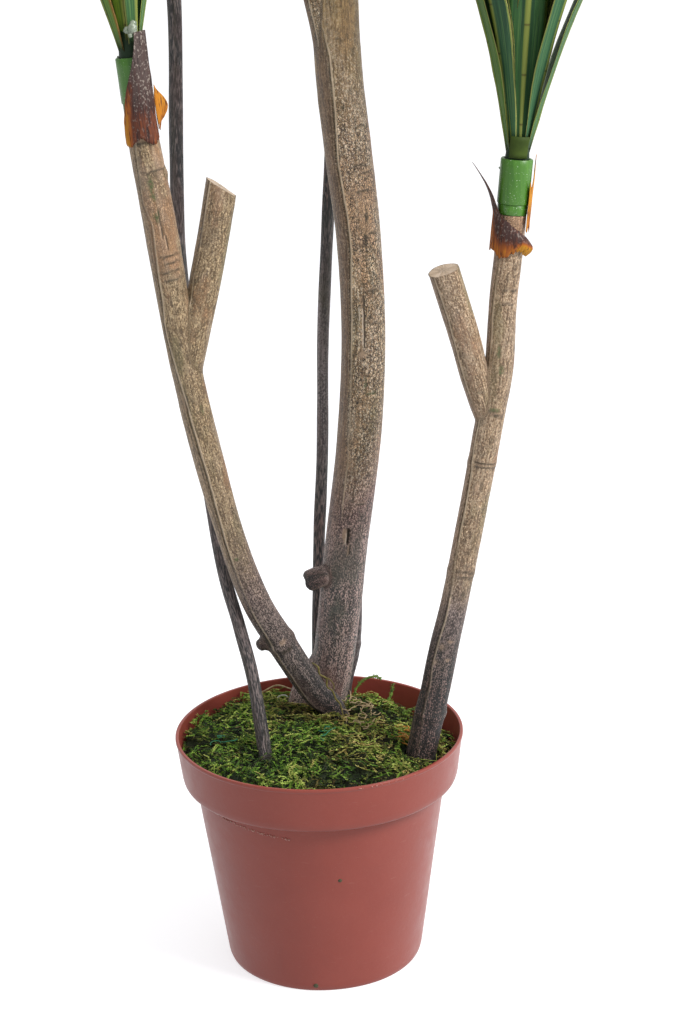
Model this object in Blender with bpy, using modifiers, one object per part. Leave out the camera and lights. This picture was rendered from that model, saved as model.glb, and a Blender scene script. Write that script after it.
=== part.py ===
"""Artificial potted yucca, in metres, +Z up, origin at the centre of the pot's base.

A plastic nursery pot holds cast filler under a mat of moss. Three real wood poles and three thin
stems stand in plain holes in both. Each ends in a plastic sleeve with a head of sword-shaped leaves,
and dry husks wrap the joint.
"""
import math
import random
from collections import namedtuple

import bmesh
import bpy
from mathutils import Matrix, Vector, noise
from mathutils.bvhtree import BVHTree

# Pot
POT_RADIUS = 0.110
POT_HEIGHT = 0.183
POT_WALL = 0.0025
POT_BASE_RADIUS = 0.0755
POT_FLOOR = 0.003
BAND_LOW = 0.149
BAND_RADIUS = 0.1056
BODY_TOP = 0.1445
BODY_RADIUS = 0.0955
POT_LIP = 0.0012
BAND_FILLET = 0.0022
BAND_FLOOR = 0.0020
STEP_BEVEL = 0.0015
STEP_EDGE = 0.0010
BASE_BEVEL = 0.0030
ROUND_STEPS = 40

# Filler and moss
FIT_GAP = 0.0005
FILLER_TOP = 0.138
MOSS_LEVEL = 0.172
MOSS_CROWN = 0.012
MOUND_POWER = 2.2
MOSS_ROUGH = 0.0035
CLUMPS_PER_METRE = (55.0, 120.0)
MOSS_DIP = 0.014
DIP_SIDE = (0.62, 0.78)
DIP_POWER = 3.0
MOSS_LIFT = 0.0050
LIFT_SIDE = (-0.92, 0.39)
LIFT_POWER = 2.0
MOSS_LOWEST = 0.1565
MOSS_WALL_HEIGHTS = (0.1435, 0.150, 0.153, 0.160)
MOSS_TOP_RINGS = (0.0940, 0.0770, 0.0600, 0.0430, 0.0260, 0.0110)

# Poles and stems: points (x, y, z, radius) from the foot in the filler to the cut top
POLE_CENTRE = (
    (0.002, 0.056, 0.040, 0.0130),
    (0.001, 0.058, 0.120, 0.0145),
    (0.004, 0.061, 0.180, 0.0182),
    (0.013, 0.057, 0.225, 0.0165),
    (0.025, 0.053, 0.317, 0.0162),
    (0.036, 0.047, 0.400, 0.0166),
    (0.041, 0.041, 0.475, 0.0163),
    (0.040, 0.036, 0.546, 0.0164),
    (0.033, 0.032, 0.619, 0.0169),
    (0.027, 0.030, 0.690, 0.0170),
    (0.028, 0.029, 0.780, 0.0160),
    (0.035, 0.025, 0.880, 0.0140),
    (0.042, 0.021, 0.965, 0.0120),
    (0.0445, 0.020, 0.990, 0.0112),
)
POLE_LEFT = (
    (0.030, 0.028, 0.055, 0.0095),
    (0.027, 0.031, 0.120, 0.0095),
    (0.012, 0.032, 0.182, 0.0101),
    (-0.004, 0.027, 0.204, 0.0108),
    (-0.028, 0.012, 0.252, 0.0114),
    (-0.045, 0.001, 0.289, 0.0109),
    (-0.060, -0.008, 0.340, 0.0106),
    (-0.076, -0.015, 0.412, 0.0109),
    (-0.088, -0.018, 0.480, 0.0114),
    (-0.099, -0.020, 0.565, 0.0121),
    (-0.1085, -0.020, 0.634, 0.0112),
    (-0.1105, -0.020, 0.656, 0.0100),
)
POLE_RIGHT = (
    (0.052, -0.026, 0.055, 0.0095),
    (0.060, -0.030, 0.115, 0.0100),
    (0.074, -0.036, 0.163, 0.0105),
    (0.084, -0.035, 0.210, 0.0112),
    (0.094, -0.034, 0.259, 0.0110),
    (0.103, -0.033, 0.298, 0.0106),
    (0.118, -0.031, 0.373, 0.0101),
    (0.129, -0.030, 0.433, 0.0107),
    (0.136, -0.030, 0.473, 0.0107),
    (0.139, -0.030, 0.520, 0.0099),
    (0.1435, -0.030, 0.560, 0.0100),
    (0.1455, -0.030, 0.581, 0.0102),
)
STEM_LEFT = (
    (-0.034, -0.036, 0.060, 0.0050),
    (-0.037, -0.040, 0.125, 0.0052),
    (-0.040, -0.035, 0.170, 0.0053),
    (-0.048, -0.013, 0.228, 0.0050),
    (-0.058, 0.001, 0.269, 0.0049),
    (-0.071, 0.016, 0.323, 0.0049),
    (-0.085, 0.034, 0.450, 0.0048),
    (-0.092, 0.042, 0.548, 0.0048),
    (-0.091, 0.046, 0.621, 0.0050),
    (-0.088, 0.052, 0.726, 0.0053),
    (-0.094, 0.066, 0.800, 0.0053),
    (-0.107, 0.086, 0.870, 0.0054),
    (-0.117, 0.098, 0.908, 0.0055),
    (-0.1215, 0.1035, 0.929, 0.0055),
)
STEM_MIDDLE = (
    (-0.008, 0.0775, 0.100, 0.0050),
    (-0.005, 0.082, 0.135, 0.0050),
    (0.000, 0.088, 0.178, 0.0052),
    (0.000, 0.091, 0.215, 0.0050),
    (0.003, 0.093, 0.300, 0.0047),
    (0.008, 0.094, 0.378, 0.0047),
    (0.011, 0.095, 0.470, 0.0046),
    (0.018, 0.097, 0.573, 0.0046),
    (0.022, 0.104, 0.650, 0.0048),
    (0.021, 0.119, 0.740, 0.0052),
    (0.0165, 0.1345, 0.808, 0.0055),
    (0.0150, 0.1395, 0.830, 0.0055),
)
STEM_BACK = (
    (0.023, 0.0745, 0.100, 0.0045),
    (0.022, 0.079, 0.135, 0.0047),
    (0.021, 0.086, 0.178, 0.0048),
    (0.029, 0.086, 0.215, 0.0047),
    (0.032, 0.084, 0.265, 0.0044),
    (0.034, 0.080, 0.350, 0.0043),
    (0.039, 0.076, 0.469, 0.0043),
    (0.037, 0.076, 0.600, 0.0044),
    (0.038, 0.080, 0.720, 0.0048),
    (0.052, 0.094, 0.820, 0.0050),
    (0.078, 0.118, 0.930, 0.0053),
    (0.104, 0.138, 1.025, 0.0055),
    (0.1125, 0.1430, 1.057, 0.0055),
    (0.1160, 0.1450, 1.078, 0.0055),
)

# Side shoots of the poles: cut stubs, a root flare and a second rib, from inside the pole outwards
STUB_CENTRE = (
    (0.0260, 0.030, 0.665, 0.0125),
    (0.0195, 0.029, 0.715, 0.0130),
    (0.0050, 0.0275, 0.775, 0.0125),
    (-0.011, 0.025, 0.850, 0.0118),
)
STUB_LEFT = (
    (-0.087, -0.018, 0.458, 0.0090),
    (-0.081, -0.017, 0.494, 0.0108),
    (-0.0695, -0.013, 0.544, 0.0112),
    (-0.057, -0.009, 0.602, 0.0114),
)
STUB_RIGHT = (
    (0.1265, -0.030, 0.436, 0.0090),
    (0.1185, -0.033, 0.467, 0.0110),
    (0.1100, -0.039, 0.500, 0.0111),
    (0.0965, -0.047, 0.546, 0.0109),
)
FLARE_CENTRE = (
    (0.009, 0.059, 0.222, 0.0115),
    (-0.010, 0.060, 0.187, 0.0125),
    (-0.020, 0.060, 0.155, 0.0100),
)
RIB_RIGHT = (
    (0.058, -0.025, 0.120, 0.0055),
    (0.070, -0.029, 0.170, 0.0062),
    (0.0785, -0.029, 0.213, 0.0056),
    (0.090, -0.031, 0.256, 0.0040),
)
KNOB_CENTRE = (
    (0.015, 0.051, 0.291, 0.0080),
    (0.002, 0.047, 0.289, 0.0088),
    (-0.0045, 0.0455, 0.2868, 0.0086),
    (-0.0070, 0.045, 0.2860, 0.0062),
)

# Pole tops, sleeves and leaf heads
SLEEVE_LENGTH = 0.0385
SLEEVE_WALL = 0.0022
SEAT_GAP = 0.0003
PEG_LENGTH = 0.008
CORE_RISE = 0.060
CORE_TIP_RADIUS = 0.0025
CORE_SIDES = 8
LEAF_RISE = 0.048
LEAF_THICKNESS = 0.0016
LEAF_HALF_WIDTH = 0.0140
LEAF_WIDEST = 0.27
LEAF_NARROWING = 1.8
LEAF_THINNING = 0.4
LEAF_FOLD = 0.30
ROOT_SHARE = 0.68
ROOT_SINK = 0.0012
ROOT_CLEAR = 0.0005
LOWEST_RISE = 0.0025
START_TILT = (15.0, 3.0)
END_TILT = (82.0, 22.0)
TILT_POWER = 1.7
GOLDEN_ANGLE = math.radians(137.5)
LEAF_STEPS = 50
LEAF_STATIONS = (0, 13, 28, 41)
LEAF_TRIES = 90
LEAF_SHORTENING = 0.22
LEAF_SWAY = 0.30
LEAF_TWIST = 0.35
CLEARANCE = 0.0015
GUARD_SIDES = 8
HEAD_GUARD = ((-0.0616, 0.019), (0.020, 0.019), (0.060, 0.016))
VIEW_FLOOR = 0.775

# Leaves that stand in view at the photo's top edge: azimuth, start tilt, end tilt and twist in degrees
Shown = namedtuple("Shown", "azimuth rise start end sway twist")
SHOWN_LEAVES = {
    "left": (
        Shown(203, 0.0040, 15, 84, 0.0, 14),
        Shown(262, 0.0110, 3, 62, 0.3, 62),
        Shown(318, 0.0060, 6, 66, 0.0, -6),
    ),
    "right": (
        Shown(274, 0.0063, 3, 46, 0.05, 2),
        Shown(182, 0.0040, 11, 94, 0.0, 6),
        Shown(207, 0.0075, 9, 84, 0.0, 4),
        Shown(334, 0.0070, 10, 74, 0.0, 4),
        Shown(356, 0.0040, 14, 82, 0.0, 12),
    ),
}
# The other low leaves of these heads leave the front clear: first azimuth, span in degrees, share of leaves
BACK_SECTOR = (-15.0, 210.0, 0.55)

# One row for each pole: name, route, sleeve radius, leaves, leaf length, lowest leaf point
POLES = (
    ("left", POLE_LEFT, 0.01125, 26, 0.40, 0.0),
    ("right", POLE_RIGHT, 0.01125, 26, 0.40, 0.0),
    ("centre", POLE_CENTRE, 0.01200, 28, 0.42, VIEW_FLOOR),
)
STEMS = (
    ("stem_middle", STEM_MIDDLE, 0.0085, 22, 0.36, VIEW_FLOOR),
    ("stem_left", STEM_LEFT, 0.0085, 22, 0.37, VIEW_FLOOR),
    ("stem_back", STEM_BACK, 0.0085, 24, 0.38, VIEW_FLOOR),
)
SHOOTS = {
    "centre": (STUB_CENTRE, FLARE_CENTRE, KNOB_CENTRE),
    "left": (STUB_LEFT,),
    "right": (STUB_RIGHT, RIB_RIGHT),
}
# Slope of each stub's cut across its width
CUT_SLOPES = {"left": -0.40, "right": 0.0, "centre": 0.25}
# Small swellings at old leaf nodes: centre and radius
SWELLINGS = {
    "left": ((-0.0400, 0.009, 0.2510, 0.0062), (-0.1160, -0.020, 0.6400, 0.0060),
             (-0.0965, -0.020, 0.6140, 0.0052)),
    "right": ((0.0905, -0.037, 0.2105, 0.0058),),
    "stem_back": ((0.0300, 0.086, 0.2190, 0.0062),),
}
POLE_STEP = 0.026
STEM_STEP = 0.045
POLE_BEVEL = 3
STEM_BEVEL = 2
HOLE_SIDES = 12

# Husks of each head. Angles are in degrees about the pole's top, heights are from its cut face.
HUSK_FIELDS = "azimuth span foot left right point place width lean curl squeeze flare"
Husk = namedtuple("Husk", HUSK_FIELDS, defaults=(0.5, 0.0))
HUSKS = {
    "left": (
        Husk(272, 62, -0.019, 0.053, 0.054, 0.056, 0.77, 20.0, 0.05, 0.0, 0.80),
        Husk(356, 20, -0.010, 0.010, 0.013, 0.018, 0.10, 2.00, 0.00, 0.0, 0.40, 0.0070),
    ),
    "right": (
        Husk(250, 80, -0.027, 0.010, -0.014, 0.035, -0.75, 0.40, 0.16, 11.0, 0.50, 0.0050),
        Husk(348, 30, -0.0085, 0.004, 0.000, 0.043, 0.20, 0.80, 0.01, 0.0),
    ),
    "centre": (
        Husk(250, 70, -0.024, -0.010, 0.006, 0.040, 0.20, 0.90, 0.08, 0.0),
        Husk(75, 50, -0.020, 0.002, -0.008, 0.030, -0.40, 0.70, 0.12, 3.0),
    ),
    "stem_middle": (
        Husk(200, 65, -0.016, -0.006, 0.002, 0.030, 0.30, 0.90, 0.08, 2.0),
        Husk(20, 50, -0.014, 0.002, -0.004, 0.024, 0.00, 0.80, 0.12, 4.0),
    ),
    "stem_left": (
        Husk(160, 65, -0.018, -0.004, -0.006, 0.034, -0.30, 0.90, 0.08, 2.0),
        Husk(330, 50, -0.013, 0.002, -0.004, 0.022, 0.20, 0.80, 0.12, 4.0),
    ),
    "stem_back": (
        Husk(320, 65, -0.018, -0.006, -0.006, 0.034, 0.00, 0.90, 0.08, 2.0),
        Husk(130, 50, -0.013, 0.002, -0.004, 0.026, 0.30, 0.80, 0.12, 4.0),
    ),
}
HUSK_THICKNESS = 0.0008
HUSK_JAG = 0.0025
HUSK_TEETH = 5.0
HUSK_SLACK = 0.0005
HUSK_POINTED = 1.2
HUSK_GRIDS = {"pole": (8, 3), "stem": (6, 2)}

COLOURS = {
    "terracotta_plastic": ((0.26, 0.072, 0.058), 0.42),
    "cement": ((0.42, 0.40, 0.37), 0.90),
    "moss": ((0.12, 0.16, 0.025), 0.95),
    "pole_wood": ((0.25, 0.18, 0.115), 0.85),
    "stem_wood": ((0.050, 0.042, 0.038), 0.80),
    "sleeve_plastic": ((0.055, 0.25, 0.035), 0.35),
    "leaf": ((0.045, 0.13, 0.055), 0.45),
    "husk": ((0.22, 0.085, 0.030), 0.75),
}


def clear_scene():
    for obj in list(bpy.data.objects):
        bpy.data.objects.remove(obj, do_unlink=True)


def new_collection(name):
    collection = bpy.data.collections.new(name)
    bpy.context.scene.collection.children.link(collection)
    return collection


def material(name):
    """A Principled material of the piece's colour and roughness, made once."""
    found = bpy.data.materials.get(name)
    if found:
        return found
    colour, roughness = COLOURS[name]
    made = bpy.data.materials.new(name)
    made.use_nodes = True
    shader = made.node_tree.nodes["Principled BSDF"]
    shader.inputs["Base Color"].default_value = (*colour, 1.0)
    shader.inputs["Roughness"].default_value = roughness
    shader.inputs["Metallic"].default_value = 0.0
    made.diffuse_color = (*colour, 1.0)
    return made


def mesh_object(name, vertices, faces, collection):
    mesh = bpy.data.meshes.new(name)
    mesh.from_pydata(vertices, [], faces)
    obj = bpy.data.objects.new(name, mesh)
    collection.objects.link(obj)
    return obj


def evaluated_mesh(obj):
    depsgraph = bpy.context.evaluated_depsgraph_get()
    return bpy.data.meshes.new_from_object(obj.evaluated_get(depsgraph))


def apply_modifiers(obj):
    mesh = evaluated_mesh(obj)
    obj.modifiers.clear()
    obj.data = mesh


def combine(obj, others, operation):
    """Join other objects to one, or cut them from it, by one Boolean on a collection."""
    group = new_collection(f"{obj.name}_{operation.lower()}")
    for other in others:
        for holder in list(other.users_collection):
            holder.objects.unlink(other)
        group.objects.link(other)
    boolean = obj.modifiers.new(operation.title(), "BOOLEAN")
    boolean.operation = operation
    boolean.operand_type = "COLLECTION"
    boolean.solver = "EXACT"
    boolean.collection = group
    apply_modifiers(obj)
    for other in others:
        bpy.data.objects.remove(other, do_unlink=True)
    bpy.data.collections.remove(group)


def finish_piece(obj, material_name, sharp_degrees):
    obj.data.materials.clear()
    obj.data.materials.append(material(material_name))
    obj.data.shade_smooth()
    obj.data.set_sharp_from_angle(angle=math.radians(sharp_degrees))
    return obj


def turned(name, profile, collection, steps=ROUND_STEPS):
    """A profile of (radius, height) turned about Z; it runs down its outer side."""
    vertices = [(radius, 0.0, height) for radius, height in profile]
    mesh = bpy.data.meshes.new(name)
    closed = profile[0][0] > 0.0
    edges = [(i, i + 1) for i in range(len(profile) - 1)]
    if closed:
        edges.append((len(profile) - 1, 0))
    mesh.from_pydata(vertices, edges, [])
    obj = bpy.data.objects.new(name, mesh)
    collection.objects.link(obj)
    screw = obj.modifiers.new("Turn", "SCREW")
    screw.axis = "Z"
    screw.steps = steps
    screw.render_steps = steps
    screw.use_merge_vertices = True
    screw.merge_threshold = 0.00001
    screw.use_normal_calculate = False
    return obj


def pot_inner_radius(height):
    """Inner radius of the pot's body below the step."""
    share = (height - POT_FLOOR) / (BODY_TOP - POT_FLOOR)
    return POT_BASE_RADIUS + (BODY_RADIUS - POT_BASE_RADIUS) * share - POT_WALL


def band_inner_radius(height):
    """Inner radius of the pot's band above the step."""
    share = (height - BAND_LOW) / (POT_HEIGHT - BAND_LOW)
    return BAND_RADIUS + (POT_RADIUS - BAND_RADIUS) * share - POT_WALL


def build_pot(collection):
    profile = (
        (0.0, POT_FLOOR),
        (pot_inner_radius(POT_FLOOR), POT_FLOOR),
        (pot_inner_radius(BODY_TOP), BODY_TOP),
        (BODY_RADIUS + STEP_EDGE, BAND_LOW),
        (BAND_RADIUS - POT_WALL, BAND_LOW + BAND_FLOOR),
        (POT_RADIUS - POT_WALL, POT_HEIGHT),
        (POT_RADIUS - POT_LIP, POT_HEIGHT),
        (POT_RADIUS, POT_HEIGHT - POT_LIP),
        (BAND_RADIUS, BAND_LOW + BAND_FILLET),
        (BAND_RADIUS - BAND_FILLET, BAND_LOW - POT_LIP),
        (BODY_RADIUS + BAND_FILLET, BODY_TOP + STEP_BEVEL),
        (BODY_RADIUS, BODY_TOP - STEP_EDGE),
        (POT_BASE_RADIUS, BASE_BEVEL),
        (POT_BASE_RADIUS - STEP_BEVEL, 0.0),
        (0.0, 0.0),
    )
    pot = turned("pot", profile, collection)
    return finish_piece(pot, "terracotta_plastic", 30)


def build_filler(collection):
    low = POT_FLOOR + SEAT_GAP
    profile = (
        (0.0, FILLER_TOP),
        (pot_inner_radius(FILLER_TOP) - FIT_GAP, FILLER_TOP),
        (pot_inner_radius(low) - FIT_GAP, low),
        (0.0, low),
    )
    filler = turned("filler", profile, collection)
    apply_modifiers(filler)
    return filler


def moss_height(x, y):
    """Top of the moss: a clumpy low mound that dips at the back right and climbs the wall at the left."""
    wall = POT_RADIUS - POT_WALL
    mound = MOSS_CROWN * (1.0 - min(math.hypot(x, y) / wall, 1.0) ** MOUND_POWER)
    dip = MOSS_DIP * max(0.0, (x * DIP_SIDE[0] + y * DIP_SIDE[1]) / wall) ** DIP_POWER
    lift = MOSS_LIFT * max(0.0, (x * LIFT_SIDE[0] + y * LIFT_SIDE[1]) / wall) ** LIFT_POWER
    coarse, fine = CLUMPS_PER_METRE
    clumps = noise.noise(Vector((x, y, 0.0)) * coarse) + 0.5 * noise.noise(Vector((x, y, 0.4)) * fine)
    return max(MOSS_LEVEL + mound - dip + lift + MOSS_ROUGH * clumps, MOSS_LOWEST)


def build_moss(collection):
    """The moss mat, as rings of points from its underside, up its wall side, to its rough top."""
    under = FILLER_TOP + SEAT_GAP
    step_low, step_middle, step_high, wall_top = MOSS_WALL_HEIGHTS
    rings = [
        (pot_inner_radius(under) - FIT_GAP, under),
        (pot_inner_radius(step_low) - FIT_GAP, step_low),
        (BODY_RADIUS - FIT_GAP, step_middle),
        (band_inner_radius(step_high) - FIT_GAP, step_high),
        (band_inner_radius(wall_top) - FIT_GAP, None),
    ]
    rings += [(radius, None) for radius in MOSS_TOP_RINGS]
    vertices = [(0.0, 0.0, under)]
    for radius, height in rings:
        for step in range(ROUND_STEPS):
            angle = math.tau * step / ROUND_STEPS
            x = radius * math.cos(angle)
            y = radius * math.sin(angle)
            vertices.append((x, y, moss_height(x, y) if height is None else height))
    vertices.append((0.0, 0.0, moss_height(0.0, 0.0)))
    faces = []
    for step in range(ROUND_STEPS):
        after = (step + 1) % ROUND_STEPS
        faces.append((0, 1 + after, 1 + step))
        for ring in range(len(rings) - 1):
            low = 1 + ring * ROUND_STEPS
            high = low + ROUND_STEPS
            faces.append((low + step, low + after, high + after, high + step))
        last = 1 + (len(rings) - 1) * ROUND_STEPS
        faces.append((last + step, last + after, len(vertices) - 1))
    moss = mesh_object("moss", vertices, faces, collection)
    triangulate = moss.modifiers.new("Triangles", "TRIANGULATE")
    triangulate.quad_method = "FIXED"
    apply_modifiers(moss)
    return moss


def smooth_route(route, step):
    """Points and radii along a smooth curve through a route, about one step apart."""
    points = [Vector(row[:3]) for row in route]
    radii = [row[3] for row in route]
    points = [2 * points[0] - points[1]] + points + [2 * points[-1] - points[-2]]
    radii = [radii[0]] + radii + [radii[-1]]
    samples = []
    for i in range(1, len(points) - 2):
        pieces = max(1, round((points[i + 1] - points[i]).length / step))
        for piece in range(pieces):
            t = piece / pieces
            weights = (
                -0.5 * t + t * t - 0.5 * t ** 3,
                1.0 - 2.5 * t * t + 1.5 * t ** 3,
                0.5 * t + 2.0 * t * t - 1.5 * t ** 3,
                -0.5 * t * t + 0.5 * t ** 3,
            )
            point = Vector((0.0, 0.0, 0.0))
            for weight, near in zip(weights, points[i - 1:i + 3]):
                point += near * weight
            samples.append((point, radii[i] * (1.0 - t) + radii[i + 1] * t))
    samples.append((points[-2], radii[-2]))
    return samples


def tube(name, samples, bevel, extra, overrun, collection):
    """A closed tube through the samples, widened by extra and drawn out at its low end by overrun."""
    data = bpy.data.curves.new(name, "CURVE")
    data.dimensions = "3D"
    data.bevel_depth = 1.0
    data.bevel_resolution = bevel
    data.use_fill_caps = True
    spline = data.splines.new("POLY")
    spline.points.add(len(samples) - 1)
    last = len(samples) - 1
    low, inner = (0, 1) if samples[0][0].z < samples[last][0].z else (last, last - 1)
    foot = (samples[low][0] - samples[inner][0]).normalized() * overrun
    for index, (point, radius) in enumerate(samples):
        place = point + foot if index == low else point
        spline.points[index].co = (*place, 1.0)
        spline.points[index].radius = radius + extra
    curve = bpy.data.objects.new(f"{name}_curve", data)
    collection.objects.link(curve)
    mesh = evaluated_mesh(curve)
    weld = bmesh.new()
    weld.from_mesh(mesh)
    bmesh.ops.remove_doubles(weld, verts=weld.verts, dist=0.00001)
    weld.to_mesh(mesh)
    weld.free()
    obj = bpy.data.objects.new(name, mesh)
    obj.matrix_world = curve.matrix_world
    collection.objects.link(obj)
    bpy.data.objects.remove(curve, do_unlink=True)
    return obj


def slope_cut(obj, samples, slope):
    """Slant the cut end of a stub across X."""
    end, radius = samples[-1]
    direction = (end - samples[-2][0]).normalized()
    for vertex in obj.data.vertices:
        offset = vertex.co - end
        if abs(offset.dot(direction)) < 0.0005 and offset.length < radius * 1.1:
            vertex.co += direction * (slope * offset.x)


def swelling(name, x, y, z, radius, collection):
    shape = bmesh.new()
    bmesh.ops.create_uvsphere(shape, u_segments=8, v_segments=5, radius=radius)
    mesh = bpy.data.meshes.new(name)
    shape.to_mesh(mesh)
    shape.free()
    obj = bpy.data.objects.new(name, mesh)
    mesh.transform(Matrix.Translation((x, y, z)))
    collection.objects.link(obj)
    return obj


def head_frame(samples, seat):
    """Matrix whose Z is the pole top's direction and whose origin is seat above the cut top."""
    top = samples[-1][0]
    axis = (top - samples[-2][0]).normalized()
    side = Vector((0.0, 1.0, 0.0)).cross(axis).normalized()
    depth = axis.cross(side)
    turn = Matrix((side, depth, axis)).transposed().to_4x4()
    return Matrix.Translation(top + axis * seat) @ turn


def peg_radius(sleeve_radius):
    return 0.0040 if sleeve_radius > 0.010 else 0.0021


def build_pole(name, route, sleeve_radius, step, bevel, wood, collection):
    """A pole or stem with its stubs and swellings, and a drilled hole in its top for the head's peg."""
    samples = smooth_route(route, step)
    pole = tube(f"pole_{name}", samples, bevel, 0.0, 0.0, collection)
    joined = []
    for index, shoot in enumerate(SHOOTS.get(name, ())):
        shoot_samples = smooth_route(shoot, POLE_STEP)
        part = tube(f"shoot_{index}", shoot_samples, POLE_BEVEL, 0.0, 0.0, collection)
        if index == 0:
            slope_cut(part, shoot_samples, CUT_SLOPES[name])
        joined.append(part)
    for index, (x, y, z, radius) in enumerate(SWELLINGS.get(name, ())):
        joined.append(swelling(f"swelling_{index}", x, y, z, radius, collection))
    if joined:
        combine(pole, joined, "UNION")
    drill = bmesh.new()
    depth = PEG_LENGTH + 0.001
    radius = peg_radius(sleeve_radius) + 0.0005
    bmesh.ops.create_cone(
        drill, cap_ends=True, segments=HOLE_SIDES, radius1=radius, radius2=radius, depth=2 * depth)
    mesh = bpy.data.meshes.new("drill")
    drill.to_mesh(mesh)
    drill.free()
    cutter = bpy.data.objects.new("drill", mesh)
    mesh.transform(head_frame(samples, 0.0))
    collection.objects.link(cutter)
    combine(pole, [cutter], "DIFFERENCE")
    return finish_piece(pole, wood, 50)


def hole_cutters(name, route, step, bevel, collection):
    """Fat copies of the pole and of its shoots that reach below the moss."""
    cutters = [tube(f"hole_{name}", smooth_route(route, step), bevel, FIT_GAP, 0.0006, collection)]
    for index, shoot in enumerate(SHOOTS.get(name, ())):
        if min(row[2] for row in shoot) < POT_HEIGHT:
            samples = smooth_route(shoot, POLE_STEP)
            cutters.append(tube(f"hole_{name}_{index}", samples, POLE_BEVEL, FIT_GAP, 0.0006, collection))
    return cutters


def build_sleeve(name, frame, radius, collection):
    inner = radius - SLEEVE_WALL
    profile = ((radius, 0.0), (radius, -SLEEVE_LENGTH), (inner, -SLEEVE_LENGTH), (inner, 0.0))
    sleeve = turned(f"sleeve_{name}", profile, collection, steps=16)
    apply_modifiers(sleeve)
    sleeve.data.transform(frame)
    return finish_piece(sleeve, "sleeve_plastic", 40)


def core_radius(sleeve_radius, rise):
    """Radius of the leaf head's core at a height above the sleeve's top."""
    full = sleeve_radius - SLEEVE_WALL - ROOT_CLEAR
    share = min(max(rise / CORE_RISE, 0.0), 1.0)
    return full + (CORE_TIP_RADIUS - full) * share


def leaf_half_width(fraction, root):
    """Half width of a leaf along its length, from its root to its tip."""
    if fraction < LEAF_WIDEST:
        share = fraction / LEAF_WIDEST
        return root + (LEAF_HALF_WIDTH - root) * math.sin(share * math.pi / 2.0)
    share = (fraction - LEAF_WIDEST) / (1.0 - LEAF_WIDEST)
    return LEAF_HALF_WIDTH * (1.0 - share ** LEAF_NARROWING)


def leaf_line(base, axis, leaf):
    """Points, sides and normals along a leaf that leaves the core and arches outwards."""
    up = (axis + Vector((0.0, 0.0, 1.0))).normalized()
    across = Vector((1.0, 0.0, 0.0))
    across = (across - up * across.dot(up)).normalized()
    deep = up.cross(across)
    point = base + axis * leaf["rise"]
    first = across * math.cos(leaf["azimuth"]) + deep * math.sin(leaf["azimuth"])
    point = point + first * leaf["root_radius"]
    line = []
    for step in range(LEAF_STEPS + 1):
        fraction = step / LEAF_STEPS
        tilt = leaf["start"] + (leaf["end"] - leaf["start"]) * fraction ** TILT_POWER
        azimuth = leaf["azimuth"] + leaf["sway"] * fraction ** 2
        outward = across * math.cos(azimuth) + deep * math.sin(azimuth)
        tangent = up * math.cos(tilt) + outward * math.sin(tilt)
        side = up.cross(outward)
        normal = tangent.cross(side)
        turn = leaf["twist"] * fraction
        turned_side = side * math.cos(turn) + normal * math.sin(turn)
        turned_normal = normal * math.cos(turn) - side * math.sin(turn)
        line.append((point.copy(), turned_side, turned_normal, fraction))
        point = point + tangent * (leaf["length"] / LEAF_STEPS)
    return line


def blade(line, root, stations, extra):
    """A closed thin blade with a folded midrib: four points at each station, and one tip."""
    vertices = []
    for station in stations:
        point, side, normal, fraction = line[station]
        half = leaf_half_width(fraction, root) + extra
        thick = LEAF_THICKNESS / 2.0 * (1.0 - LEAF_THINNING * fraction) + extra
        lift = normal * (LEAF_FOLD * half)
        vertices += [point - side * half + lift, point + normal * thick,
                     point + side * half + lift, point - normal * thick]
    vertices.append(line[-1][0])
    tip = len(vertices) - 1
    faces = [(0, 3, 2), (0, 2, 1)]
    for ring in range(len(stations) - 1):
        for corner in range(4):
            after = (corner + 1) % 4
            a, b = ring * 4 + corner, ring * 4 + after
            if corner in (0, 2):
                faces += [(a, b, b + 4), (a, b + 4, a + 4)]
            else:
                faces += [(a, b, a + 4), (b, b + 4, a + 4)]
    last = (len(stations) - 1) * 4
    faces += [(last + corner, last + (corner + 1) % 4, tip) for corner in range(4)]
    return vertices, faces


def tree_of(vertices, faces):
    return BVHTree.FromPolygons([tuple(v) for v in vertices], faces)


def guard_tree(samples, extra):
    """A rough tube round a pole that leaves have to stay out of."""
    vertices = []
    for point, radius in samples:
        for side in range(GUARD_SIDES):
            angle = math.tau * side / GUARD_SIDES
            offset = Vector((math.cos(angle), math.sin(angle), 0.0)) * (radius + extra)
            vertices.append(point + offset)
    faces = []
    for low in range(0, len(vertices) - GUARD_SIDES, GUARD_SIDES):
        high = low + GUARD_SIDES
        for side in range(GUARD_SIDES):
            after = (side + 1) % GUARD_SIDES
            faces.append((low + side, low + after, high + after, high + side))
    return tree_of(vertices, faces)


def pole_guards(rows):
    """Guards of all poles and stubs, and of each head's sleeve and core."""
    guards = []
    sleeves = {}
    for name, route, sleeve_radius, _, _, _ in rows:
        samples = smooth_route(route, POLE_STEP)
        guards.append(guard_tree(samples, CLEARANCE))
        for shoot in SHOOTS.get(name, ()):
            guards.append(guard_tree(smooth_route(shoot, POLE_STEP), CLEARANCE))
        top, axis = head_place(samples)
        sleeves[name] = guard_tree([(top + axis * rise, radius) for rise, radius in HEAD_GUARD], 0.0)
    return guards, sleeves


def head_place(samples):
    """Centre of the sleeve's top, and the sleeve's axis."""
    frame = head_frame(samples, SEAT_GAP + SLEEVE_LENGTH)
    return frame.to_translation(), frame.to_3x3() @ Vector((0.0, 0.0, 1.0))


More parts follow.
